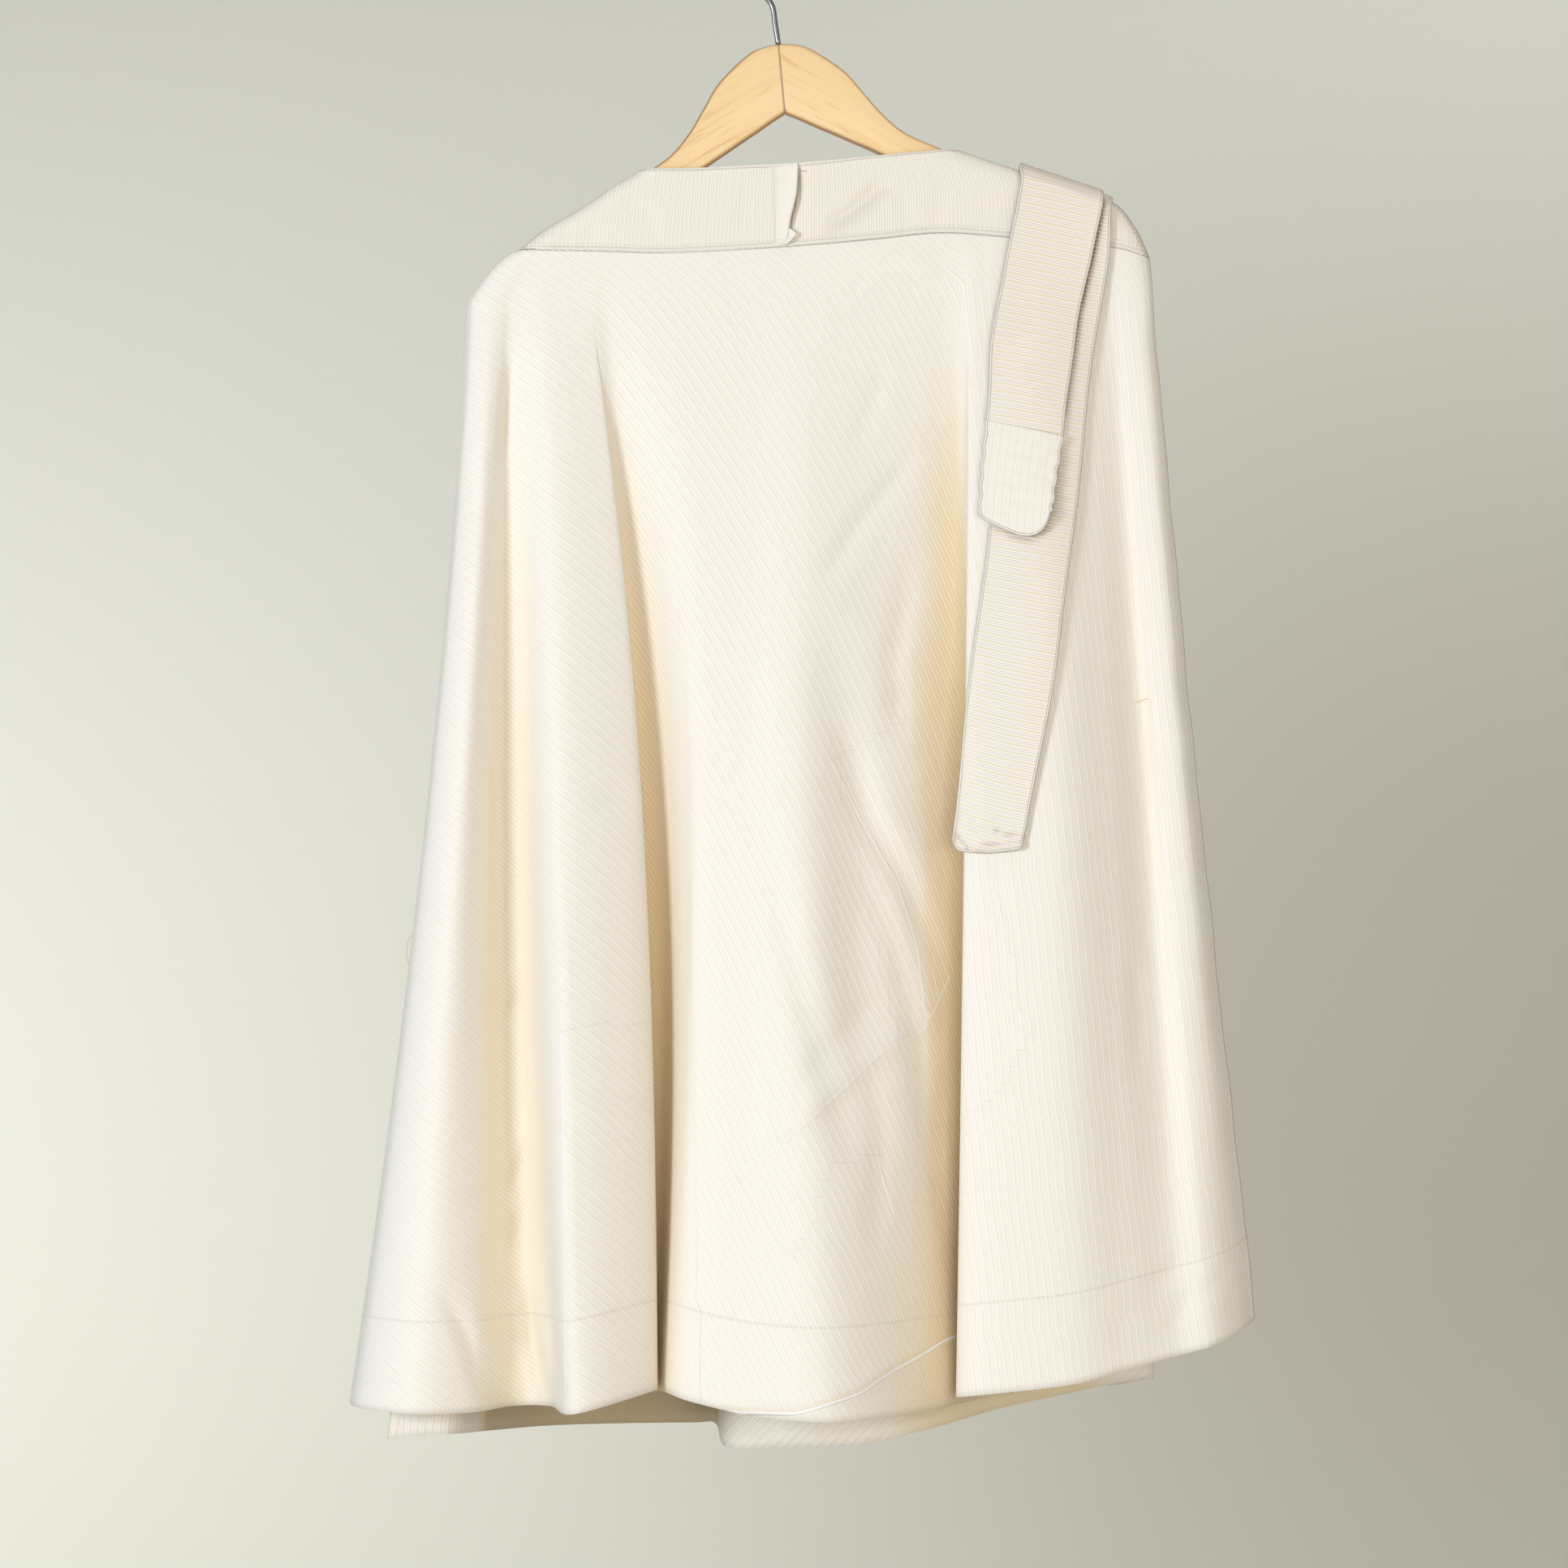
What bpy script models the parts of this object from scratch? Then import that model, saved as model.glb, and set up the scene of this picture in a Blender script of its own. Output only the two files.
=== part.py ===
"""Half-circle wrap skirt with two ties, hung on a wooden hanger with a wire hook.

Sizes are in millimetres and become metres where a mesh is made. The origin is the
inside top of the hook, +Z is up, +X is the wearer's left and the front looks along -Y.
Each cloth panel runs from its waist seam to its hem. A table gives one row for each
fold: where it starts at the waist and where it ends at the hem. A second one gives how
far some of them bow in between.
"""
import math

import bmesh
import bpy
import numpy as np

MM = 0.001

CLOTH = 1.2                 # wall of the panels, the ties and the inner band
BAND = 1.8                  # wall of the outer waistband
SEAM_GAP = 0.3
SIDE_GAP = 0.45             # each side of a side seam, to the middle of the wall's end
SEAM_BELOW = 0.45           # from a band's lower edge down to its panel
FRONT_DEPTH = 11.0          # outer front, from the middle of the hanger
UNDER_DEPTH = 8.4           # inner front
BACK_DEPTH = 9.4            # back

HANGER_THICK = 12.0
HANGER_EDGE = 3.0           # radius of its rounded edges
EDGE_STEPS = 1              # points added round each rounded edge
HANGER_TILT = math.radians(5.5)
HANGER_NECK = (5.3, -58.3)
WIRE = 3.6
WIRE_STEPS = 2
HOOK_RADIUS = 13.8

SHOULDER_PUSH = 32.0        # how far the arm's end pushes the left side out
SHOULDER_REACH = 80.0
SHOULDER_RISE = 0.045       # share of the length in which the push comes to its full
SHOULDER_START = 0.6        # power of its rise
SHOULDER_FADE = 2.2         # power of its fall
FREE_BOW = 3.0              # how far the free edge bows in at half its length
FREE_REACH = 40.0
SLIT_OPEN = 0.0035          # half of the slit at its middle, as a share of the band

# Places along the waist seam and the front top edge: x, z
WAIST_SEAM = ((-164, -193), (-111, -194), (-63, -195), (12, -191), (70, -186),
              (112, -182), (157, -185), (221, -191), (248, -198))
BAND_TOP = ((-84.7, -141.3), (-46, -140.7), (-13, -139), (27, -136.7), (77, -132),
            (112, -129), (123, -129))
# Side lines of the band, from its top edge to the seam: x, z
BAND_LEFT = ((-84.7, -141.3), (-103, -152), (-118, -162.6), (-133, -171.6),
             (-148, -180.5), (-164, -193))
BAND_RIGHT = ((123, -129), (147, -137), (190, -151), (223, -162), (238, -178), (248, -198))
SLIT_LINE = (18.3, 17.8, 16.2, 13.2, 11.0)   # x of the tie slit, from top edge to seam
SLIT_NARROW = 0.0004        # half of the slit at its ends, as a share of the band
BACK_SAG = 50.0             # the back's top edge hangs this far below the front's
BACK_SEAM_SAG = 48.0
BACK_SAG_POWER = 0.6
BACK_INSIDE = 3.4           # the back turns over the right arm this far inside the front
BACK_RIGHT_SEAM = (241, -200)
UNDER_TOP_START = -70       # free end of the inner band, at its top and at its seam
UNDER_SEAM_START = -148
BAND_TURN = 5.0             # depth left at the outer band's right end
# Where each length of band has its columns, as shares of it
BAND_ROWS = 5
BACK_EDGE_POINTS = 9
UNDER_TOP_POINTS = 7
UNDER_SEAM_POINTS = 9
UNDER_END_POINTS = 4
LEFT_COLUMNS = (0, 0.012, 0.035, 0.075, 0.13, 0.22, 0.34, 0.48, 0.62, 0.76, 0.88, 1)
RIGHT_COLUMNS = (0, 0.12, 0.26, 0.4, 0.52, 0.62, 0.71, 0.79, 0.86, 0.92, 0.965, 0.988, 1)
BACK_COLUMNS = np.concatenate(((0, 0.012, 0.03), np.linspace(0.06, 0.94, 19), (0.97, 0.988, 1)))
UNDER_COLUMNS = np.array((0, 0.05, 0.15, 0.3, 0.45, 0.6, 0.72, 0.82, 0.9, 0.95, 0.98, 1))

# Outer front, left side to free edge.
# fold, waist x, hem x, hem y, hem z
FRONT_FOLDS = (
    ("side seam",     -164, -274,  -0.45, -947),
    ("side turn",     -163, -273.5, -20,  -947),
    ("side",          -160, -263,  -54,   -945),
    ("left swell",    -154, -228,  -78,   -945),
    ("left fall",     -149, -192,  -66,   -946),
    ("left dip",      -144, -166,  -38,   -946),
    ("left rise",     -138, -141,  -52,   -944),
    ("left ridge",    -128, -123,  -104,  -941),
    ("left lip",      -112, -73.9, -72,   -931),
    ("pleat left",    -105, -83,   -40,   -938),
    ("pleat bottom",  -97,  -85,   -27,   -941),
    ("pleat right",   -88,  -76,   -30,   -938),
    ("right lip",     -76,  -67.3, -66,   -932.7),
    ("middle left",   -52,  -50,   -84,   -936.2),
    ("middle",        -8,   -10,   -98,   -943),
    ("middle ridge",   30,   38,   -110,  -945),
    ("middle slope",   78,   90,   -76,   -945),
    ("tuck in",        112,  141,  -28,   -942),
    ("tuck turn",      121,  158,  -26,   -940),
    ("tuck out",       127,  146,  -40,   -938),
    ("tuck lip",       133,  120,  -60,   -937),
    ("right swell",    144,  136,  -77,   -933),
    ("right front",    178,  192,  -80,   -926),
    ("right slope",    204, 230,  -68,   -918),
    ("right dip",      220, 262,  -56,   -911),
    ("free swell",     230, 285,  -54,   -905),
    ("free side",      240, 304,  -38,   -898),
    ("free edge",      248,  317,  -15,   -893),
)
# How far a fold of the front bows to the right and to the back, halfway down.
FRONT_BOWS = {
    "side": (-2, -6), "left swell": (-5, -8), "left fall": (-12, -2), "left dip": (-18, 5),
    "left rise": (-16, 2), "left ridge": (-6, -4), "left lip": (9, 2), "pleat left": (5, 3),
    "pleat bottom": (6, 9), "pleat right": (12, 4), "right lip": (17, 0), "middle left": (8, -3),
    "middle": (-4, -4), "middle ridge": (-9, -7), "middle slope": (-3, 2), "tuck in": (0, 7),
    "tuck turn": (0, 6), "tuck out": (0, 2), "tuck lip": (0, -3), "right swell": (0, -4),
    "right front": (0, -10), "right slope": (3, 0), "right dip": (5, 12), "free swell": (0, 4),
    "free side": (0, -3),
}
# Inner front, right side to free edge.
UNDER_FOLDS = (
    ("side seam",      241,  254,   29.55, -938),
    ("side turn",      239,     251,   20,   -937),
    ("side",           232,   238,   14,   -937),
    ("right",           200, 190, 6, -946),
    ("right middle",    150, 150, 7, -955),
    ("swell",           100, 108, -12, -964),
    ("middle",          50, 60, -13, -975),
    ("middle left",    5,   5,     -20,  -976),
    ("lip",             -25, -28, -12, -977),
    ("fold side",       -33, -36, 34, -969),
    ("fold right",    -60,  -52,     94,  -978),
    ("fold bottom",     -95, -98, 110, -981),
    ("fold left",       -125, -150, 94, -980),
    ("fold out",        -134, -186, 30, -973),
    ("left lip",        -139, -203, -25, -966),
    ("left",            -143, -224, -30, -966),
    ("free edge",       -148, -250, -22, -970),
)
UNDER_BOWS = {
    "side": (0, 5), "right": (0, 7), "right middle": (0, 5), "swell": (0, 5),
    "fold right": (0, 4), "fold bottom": (0, 5), "fold left": (0, 4),
    "left lip": (0, 3), "left": (0, 5), "free edge": (0, 6),
}
# Back, left side to right side.
BACK_FOLDS = (
    ("left seam",     -164, -274,    0.45, -947),
    ("left turn",     -162,  -271,    18,  -949),
    ("left side",     -155,  -252,    56,  -960),
    ("left swell",    -122,  -205,    98,  -972),
    ("left ridge",    -84,  -146,    138, -978),
    ("left dip",      -52,  -98,     121, -976),
    ("middle left",   -18,  -44,     142, -979),
    ("middle dip",     28,   22,     74, -977),
    ("middle ridge",   70,   88,     138, -976),
    ("right dip",       112, 142, 62, -964),
    ("right ridge",     156, 192, 110, -956),
    ("right slope",    200,   232,    64,  -948),
    ("right side",     228,   248,    48,  -942),
    ("right turn",     238.5,     253.5,  38,  -939),
    ("right seam",     241,  254,    30.45, -938),
)
PANEL_ROWS = (0.0, 0.014, 0.03, 0.065, 0.13, 0.23, 0.36, 0.5, 0.66, 0.83, 1.0)
FOLD_ONSET = 0.04
FOLD_GROWTH = 1.12
PER_FOLD = 3                # columns of a panel from one fold to the next
UNDER_DROP = 3.0            # the inner front's waist seam lies this much lower
TUCK_LIP = 20               # row of the outer front from which its right part lies in front

# Ties. Over the arm: x behind it, x on top of it and half the width. On the front: centre
# x, z and half the width at each place.
SHORT_OVER = (196, 191, 27)
TIE_SHORT = (
    ("front",     185, -185, 26.5),
    ("middle",    172, -250, 26.5),
    ("tip seam",  165.5, -313, 25),
)
TIE_TIP = (
    ("tip seam",  165.5, -313, 25),
    ("tip half",  161, -346, 23.5),
    ("tip end",   157.5, -379, 22.3),
)
LONG_OVER = (204, 199, 25)
TIE_LONG = (
    ("front",     197, -190, 25),
    ("upper",     183.5, -270, 26),
    ("middle",    169.5, -380, 26.8),
    ("lower",     155.5, -480, 26.3),
    ("end",       140.5, -586, 23),
)
TIE_LONG_DEPTH = 1.9        # clear of what it lies on, to its middle
TIE_SHORT_DEPTH = 4.1
TIE_SLANT = 0.22            # how much lower a tie's right edge lies, for its width
TIE_BEHIND = 34.0           # how far a tie's hidden end lies below the top edge
TIE_TURN = 0.9              # height of the turn over the arm, for its depth
TURN_ANGLES = np.radians((0, 30, 60, 90, 120, 150, 180))
TURN_LEAN = 2.0             # how far right the turn leans from front to back
TIE_COLUMNS = 5
TIE_LONG_ROWS = 14
TIE_SHORT_ROWS = 6
TIP_ROUND = 8.0             # how much lower the tip's middle hangs than its corners
TIP_SKEW = 0.6
TIP_POWER = 3
LEVEL_POWER = 4             # how late the long tie's lower edge comes level

# Hanger arm, from the neck outward: along, top edge, bottom edge
ARM = (
    (0,     0,      -45.7),
    (9,    -1,      -50.4),
    (18,   -3.7,    -55.5),
    (30,   -11.9,   -62),
    (42.6, -23.2,   -69),
    (52.7, -37.2,   -74.5),
    (64.2, -52.9,   -81.5),
    (78.5, -66.8,   -90),
    (101.8, -80.1,  -104),
    (108,  -87.5,   -107.5),
    (116,  -92,     -112),
    (133,  -99,     -122),
    (150,  -106,    -131),
    (165,  -112.4,  -139.5),
    (175,  -117.9,  -145),
    (190,  -128.2,  -152.5),
    (200,  -135.5,  -156.5),
    (205,  -144,    -157),
)
HOOK_SHANK = ((5.3, -57.9), (3.2, -44), (1.4, -33), (-3.5, -26.5), (-10.6, -21))
HOOK_START = math.radians(200)
HOOK_END = math.radians(-35)
SHANK_POINTS = 13
BOW_POINTS = 25
WELD = 0.00001              # metres

# Colour and roughness
IVORY = ((0.83, 0.80, 0.72), 0.9)
HONEY = ((0.76, 0.50, 0.24), 0.45)
STEEL = ((0.45, 0.45, 0.46), 0.3)


def clear_scene():
    for thing in list(bpy.data.objects):
        bpy.data.objects.remove(thing, do_unlink=True)


def make_material(name, finish, metallic=0.0):
    colour, roughness = finish
    material = bpy.data.materials.new(name)
    material.use_nodes = True
    shader = material.node_tree.nodes["Principled BSDF"]
    shader.inputs["Base Color"].default_value = (*colour, 1.0)
    shader.inputs["Roughness"].default_value = roughness
    shader.inputs["Metallic"].default_value = metallic
    return material


def through(points, at, before=None, after=None):
    """Catmull-Rom curve through the points; at is 0 at the first and 1 at the last."""
    points = np.asarray(points, float)
    first = 2 * points[0] - points[1] if before is None else np.asarray(before, float)
    last = 2 * points[-1] - points[-2] if after is None else np.asarray(after, float)
    held = np.vstack((first, points, last))
    place = np.clip(np.asarray(at, float), 0, 1) * (len(points) - 1)
    span = np.minimum(place.astype(int), len(points) - 2)
    part = (place - span)[..., None]
    a, b, c, d = (held[span + k] for k in range(4))
    return 0.5 * (2 * b + (c - a) * part + (2 * a - 5 * b + 4 * c - d) * part ** 2
                  + (3 * b - a - 3 * c + d) * part ** 3)


def height_at(line, x):
    """Height of an x, z line at x."""
    line = np.asarray(line, float)
    return np.interp(x, line[:, 0], line[:, 1])


def round_over(distance, radius):
    """0 at an edge, rising along a quarter circle to 1 at the radius."""
    part = np.clip(distance / radius, 0, 1)
    return np.sqrt(1 - (1 - part) ** 2)


def distance_to(line, x, z):
    """Shortest way from each x, z to a line of x, z places."""
    line = np.asarray(line, float)
    start, run = line[:-1], np.diff(line, axis=0)
    across, up = x[..., None] - start[:, 0], z[..., None] - start[:, 1]
    part = (across * run[:, 0] + up * run[:, 1]) / (run ** 2).sum(axis=1)
    part = np.clip(part, 0, 1)
    return np.hypot(across - part * run[:, 0], up - part * run[:, 1]).min(axis=-1)


def cloth_wall(name, grid, thickness, material, collection):
    """A wall of the given thickness about a grid of points, rows by columns by xyz."""
    rows, columns = grid.shape[:2]
    index = np.arange(rows * columns).reshape(rows, columns)
    quads = np.stack((index[:-1, :-1], index[1:, :-1], index[1:, 1:], index[:-1, 1:]), -1)
    mesh = bpy.data.meshes.new(name)
    mesh.from_pydata((grid.reshape(-1, 3) * MM).tolist(), [], quads.reshape(-1, 4).tolist())
    mesh.materials.append(material)
    mesh.shade_smooth()
    panel = bpy.data.objects.new(name, mesh)
    collection.objects.link(panel)
    wall = panel.modifiers.new("wall", "SOLIDIFY")
    wall.thickness = thickness * MM
    wall.offset = 0.0
    wall.use_rim = True
    wall.use_quality_normals = True
    return panel


def across_seam(line):
    """One point past each end, so that a side seam is crossed straight on."""
    start = line[1] * (1, -1, 1) + (0, 2 * line[0][1], 0)
    finish = line[-2] * (1, -1, 1) + (0, 2 * line[-1][1], 0)
    return start, finish


def panel_grid(folds, bows, band_edge, turned_start, turned_end, pushed):
    """Rows from waist to hem, each a curve through that panel's folds.

    The first row follows the lower edge of its band, a seam's gap below it. A fold that
    bows moves by a half sine down its length.
    """
    places = np.array([row[1:] for row in folds], float)
    hem = places[:, 1:]
    start, finish = across_seam(hem)
    across = np.linspace(0, 1, (len(folds) - 1) * PER_FOLD + 1)
    foot = through(hem, across, start if turned_start else None,
                   finish if turned_end else None)
    waist_x = through(places[:, :1], across)[:, 0]
    edge = band_edge[np.argsort(band_edge[:, 0])]
    fall = np.interp(waist_x, edge[:, 0], np.gradient(edge[:, 2], edge[:, 0]))
    below = SEAM_BELOW * np.hypot(1, fall)
    top = np.column_stack((waist_x, np.interp(waist_x, edge[:, 0], edge[:, 1]),
                           np.interp(waist_x, edge[:, 0], edge[:, 2]) - below))
    down = np.array(PANEL_ROWS)[:, None]
    grid = top[None] * (1 - down[..., None]) + foot[None] * down[..., None]
    grown = np.clip((down - FOLD_ONSET) / (1 - FOLD_ONSET), 0, 1) ** FOLD_GROWTH
    grid[..., 1] = top[None, :, 1] * (1 - grown) + foot[None, :, 1] * grown
    bow = through([bows.get(row[0], (0.0, 0.0)) for row in folds], across)
    grid[..., :2] += bow[None] * np.sin(math.pi * down)[..., None]
    if pushed:
        rise = np.clip(down / SHOULDER_RISE, 0, 1)
        push = rise ** SHOULDER_START * (1 - down) ** SHOULDER_FADE
        inward = grid[..., 0] - grid[:, :1, 0]
        grid[..., 0] -= SHOULDER_PUSH * push * np.exp(-inward / SHOULDER_REACH)
    if not turned_end and pushed:
        outward = grid[:, -1:, 0] - grid[..., 0]
        grid[..., 0] -= FREE_BOW * np.sin(math.pi * down) * np.exp(-outward / FREE_REACH)
    return grid


def spread_along(line, share):
    """Places on an x, z line, evenly spread in x."""
    x = line[0][0] + (line[-1][0] - line[0][0]) * share
    return np.stack((x, height_at(line, x)), -1)


def band_patch(along, down, top_line, seam_line, left_line, right_line):
    """Coons patch between four x, z lines; along and down are arrays from 0 to 1."""
    top = spread_along(top_line, along)
    seam = spread_along(seam_line, along)
    left = through(left_line, down)
    right = through(right_line, down)
    a = along[..., None]
    d = down[..., None]
    corners = ((1 - a) * (1 - d) * np.array(top_line[0], float)
               + a * (1 - d) * np.array(top_line[-1], float)
               + (1 - a) * d * np.array(seam_line[0], float)
               + a * d * np.array(seam_line[-1], float))
    return (1 - d) * top + d * seam + (1 - a) * left + a * right - corners


def front_band_grid(first, last, columns):
    """A length of the front band between two shares of its length, each a function of down."""
    down = np.linspace(0, 1, BAND_ROWS)[:, None] * np.ones((1, len(columns)))
    start = first(down)
    along = start + (last(down) - start) * np.array(columns)[None]
    flat = band_patch(along, down, BAND_TOP, WAIST_SEAM, BAND_LEFT, BAND_RIGHT)
    from_left = distance_to(BAND_LEFT, flat[..., 0], flat[..., 1])
    from_right = distance_to(BAND_RIGHT, flat[..., 0], flat[..., 1])
    depth = -SIDE_GAP - (FRONT_DEPTH - SIDE_GAP) * round_over(from_left, FRONT_DEPTH)
    depth += (FRONT_DEPTH - BAND_TURN) * (1 - round_over(from_right, FRONT_DEPTH))
    return np.stack((flat[..., 0], depth, flat[..., 1]), -1)


def slit(down):
    """The slit's share of the band's length: its x between the x of the band's two sides."""
    left = through(BAND_LEFT, down)[..., 0]
    right = through(BAND_RIGHT, down)[..., 0]
    middle = through(np.array(SLIT_LINE)[:, None], down)[..., 0]
    return (middle - left) / (right - left)


def slit_half(down):
    return SLIT_NARROW + SLIT_OPEN * np.sin(math.pi * np.clip(down, 0, 1))


def left_band_grid():
    return front_band_grid(lambda d: 0 * d, lambda d: slit(d) - slit_half(d), LEFT_COLUMNS)


def right_band_grid():
    return front_band_grid(lambda d: slit(d) + slit_half(d), lambda d: 0 * d + 1, RIGHT_COLUMNS)


def moved_in(line, by):
    """A side line moved across itself, toward the middle of the skirt."""
    line = np.array(line, float)
    run = np.gradient(line, axis=0)
    run /= np.linalg.norm(run, axis=1, keepdims=True)
    return line + by * np.column_stack((run[:, 1], -run[:, 0]))


def inner_right_line():
    """Where the back turns over the right arm, inside the outer front."""
    line = moved_in(BAND_RIGHT, BACK_INSIDE)
    line[-1] = BACK_RIGHT_SEAM
    return line


def back_band_grid():
    down = np.linspace(0, 1, BAND_ROWS)[:, None] * np.ones((1, len(BACK_COLUMNS)))
    along = np.ones((BAND_ROWS, 1)) * BACK_COLUMNS[None]
    right = inner_right_line()
    share = np.linspace(0, 1, BACK_EDGE_POINTS)
    top_x = BAND_LEFT[0][0] + (right[0, 0] - BAND_LEFT[0][0]) * share
    seam_x = BAND_LEFT[-1][0] + (right[-1, 0] - BAND_LEFT[-1][0]) * share
    sag = np.sin(math.pi * share) ** BACK_SAG_POWER
    top = np.column_stack((top_x, height_at(BAND_TOP, top_x) - BACK_SAG * sag))
    top[-1] = right[0]
    seam = np.column_stack((seam_x, height_at(WAIST_SEAM, seam_x) - BACK_SEAM_SAG * sag))
    seam[-1] = right[-1]
    flat = band_patch(along, down, top, seam, BAND_LEFT, right)
    from_left = distance_to(BAND_LEFT, flat[..., 0], flat[..., 1])
    from_right = distance_to(right, flat[..., 0], flat[..., 1])
    rounded = round_over(from_left, BACK_DEPTH) * round_over(from_right, BACK_DEPTH)
    depth = SIDE_GAP + (BACK_DEPTH - SIDE_GAP) * rounded
    return np.stack((flat[..., 0], depth, flat[..., 1]), -1)


def under_band_grid():
    down = np.linspace(0, 1, BAND_ROWS)[:, None] * np.ones((1, len(UNDER_COLUMNS)))
    along = np.ones((BAND_ROWS, 1)) * UNDER_COLUMNS[None]
    right = inner_right_line()
    top_x = np.linspace(UNDER_TOP_START, right[0, 0], UNDER_TOP_POINTS)
    seam_x = np.linspace(UNDER_SEAM_START, right[-1, 0], UNDER_SEAM_POINTS)
    top = np.column_stack((top_x, height_at(BAND_TOP, top_x) - UNDER_DROP))
    top[-1] = right[0]
    seam = np.column_stack((seam_x, height_at(WAIST_SEAM, seam_x) - UNDER_DROP + SEAM_GAP))
    seam[-1] = right[-1]
    left = np.linspace(top[0], seam[0], UNDER_END_POINTS)
    flat = band_patch(along, down, top, seam, left, right)
    from_right = distance_to(right, flat[..., 0], flat[..., 1])
    depth = -SIDE_GAP - (UNDER_DEPTH - SIDE_GAP) * round_over(from_right, UNDER_DEPTH)
    return np.stack((flat[..., 0], depth, flat[..., 1]), -1)


def front_depth_at(x, z, front):
    """Depth of the outer front's right part at x, z; past the tuck's lip it stays as there."""
    lip = TUCK_LIP * PER_FOLD
    depth = np.empty_like(x)
    rows_z = front[:, lip:, 2].mean(axis=1)
    for place in np.ndindex(x.shape):
        across = [np.interp(x[place], row[lip:, 0], row[lip:, 1]) for row in front]
        depth[place] = np.interp(-z[place], -rows_z, across)
    return depth


def tie_grid(rows, over, front, clear, steps, tip_round=0.0, ends_level=0.0):
    """A strip laid on the front from its centre line; over adds the turn over the arm."""
    share = np.linspace(0, 1, steps)
    centre = through(np.array([row[1:] for row in rows], float), share)
    cross = np.linspace(-1, 1, TIE_COLUMNS)
    half = centre[:, 2:3]
    x = centre[:, 0:1] + half * cross
    level = 1 - ends_level * share[:, None] ** LEVEL_POWER
    tail = tip_round * share[:, None] ** TIP_POWER
    z = centre[:, 1:2] - TIE_SLANT * level * half * cross + tail * (cross ** 2 - TIP_SKEW * cross)
    strip = np.stack((x, front_depth_at(x, z, front) - clear - CLOTH, z), -1)
    if over is None:
        return strip
    behind_x, top_x, top_half = over
    angle = TURN_ANGLES[:, None]
    reach = FRONT_DEPTH + clear + CLOTH + SEAM_GAP
    turn_x = top_x + TURN_LEAN * (0.5 - angle / math.pi) + top_half * cross
    crest = edge_height(turn_x) + clear + BAND + SEAM_GAP
    turn_y = reach * np.cos(angle) * np.ones(TIE_COLUMNS)
    turn = np.stack((turn_x, turn_y, crest - reach * (1 - np.sin(angle)) * TIE_TURN), -1)
    hidden = np.stack((behind_x + top_half * cross, np.full(TIE_COLUMNS, reach),
                       edge_height(top_x + top_half * cross) - TIE_BEHIND), -1)
    return np.concatenate((hidden[None], turn, strip))


def edge_height(x):
    """Top outline of the band where it turns over the right arm."""
    line = np.vstack((BAND_TOP[-2:], BAND_RIGHT))
    return np.interp(x, line[:, 0], line[:, 1])


def tilted(along, up):
    """From the hanger's own axes to x, z."""
    along, up = np.asarray(along, float), np.asarray(up, float)
    x = HANGER_NECK[0] + along * math.cos(HANGER_TILT) - up * math.sin(HANGER_TILT)
    z = HANGER_NECK[1] + along * math.sin(HANGER_TILT) + up * math.cos(HANGER_TILT)
    return x, z


def hanger_half(name, side, material, collection):
    """One mitred half: the arm's outline, extruded to its thickness, with rounded edges."""
    arm = np.array(ARM, float)
    arm[0, 0] = SEAM_GAP / 2
    along = np.concatenate((arm[:, 0], arm[::-1, 0])) * side
    up = np.concatenate((arm[:, 1], arm[::-1, 2]))
    x, z = tilted(along, up)
    curve = bpy.data.curves.new(name, "CURVE")
    curve.dimensions = "2D"
    curve.fill_mode = "BOTH"
    curve.extrude = (HANGER_THICK / 2 - HANGER_EDGE) * MM
    curve.bevel_depth = HANGER_EDGE * MM
    curve.bevel_resolution = EDGE_STEPS
    curve.offset = -HANGER_EDGE * MM
    outline = curve.splines.new("POLY")
    outline.points.add(len(x) - 1)
    outline.use_cyclic_u = True
    for point, px, pz in zip(outline.points, x, z):
        point.co = (px * MM, pz * MM, 0, 1)
    flat = bpy.data.objects.new(name + "_outline", curve)
    flat.rotation_euler = (math.pi / 2, 0, 0)
    collection.objects.link(flat)
    bpy.context.view_layer.update()
    evaluated = flat.evaluated_get(bpy.context.evaluated_depsgraph_get())
    mesh = bpy.data.meshes.new_from_object(evaluated)
    mesh.transform(flat.matrix_world)
    bpy.data.objects.remove(flat, do_unlink=True)
    mesh.name = name
    weld(mesh)
    mesh.materials.clear()
    mesh.materials.append(material)
    half = bpy.data.objects.new(name, mesh)
    collection.objects.link(half)
    return half


def weld(mesh):
    work = bmesh.new()
    work.from_mesh(mesh)
    bmesh.ops.remove_doubles(work, verts=work.verts, dist=WELD)
    bmesh.ops.recalc_face_normals(work, faces=work.faces)
    work.to_mesh(mesh)
    work.free()


def hanger_hook(material, collection):
    """Wire from the neck, round the rail and down to an open end."""
    shank = through(HOOK_SHANK, np.linspace(0, 1, SHANK_POINTS))
    angles = np.linspace(HOOK_START, HOOK_END, BOW_POINTS)
    bow = np.column_stack((HOOK_RADIUS * np.cos(angles),
                           WIRE / 2 - HOOK_RADIUS + HOOK_RADIUS * np.sin(angles)))
    route = np.vstack((shank, bow))
    curve = bpy.data.curves.new("hanger_hook", "CURVE")
    curve.dimensions = "3D"
    curve.bevel_depth = WIRE / 2 * MM
    curve.bevel_resolution = WIRE_STEPS
    curve.use_fill_caps = True
    wire = curve.splines.new("POLY")
    wire.points.add(len(route) - 1)
    for point, (x, z) in zip(wire.points, route):
        point.co = (x * MM, 0, z * MM, 1)
    curve.materials.append(material)
    hook = bpy.data.objects.new("hanger_hook", curve)
    collection.objects.link(hook)
    return hook


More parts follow.
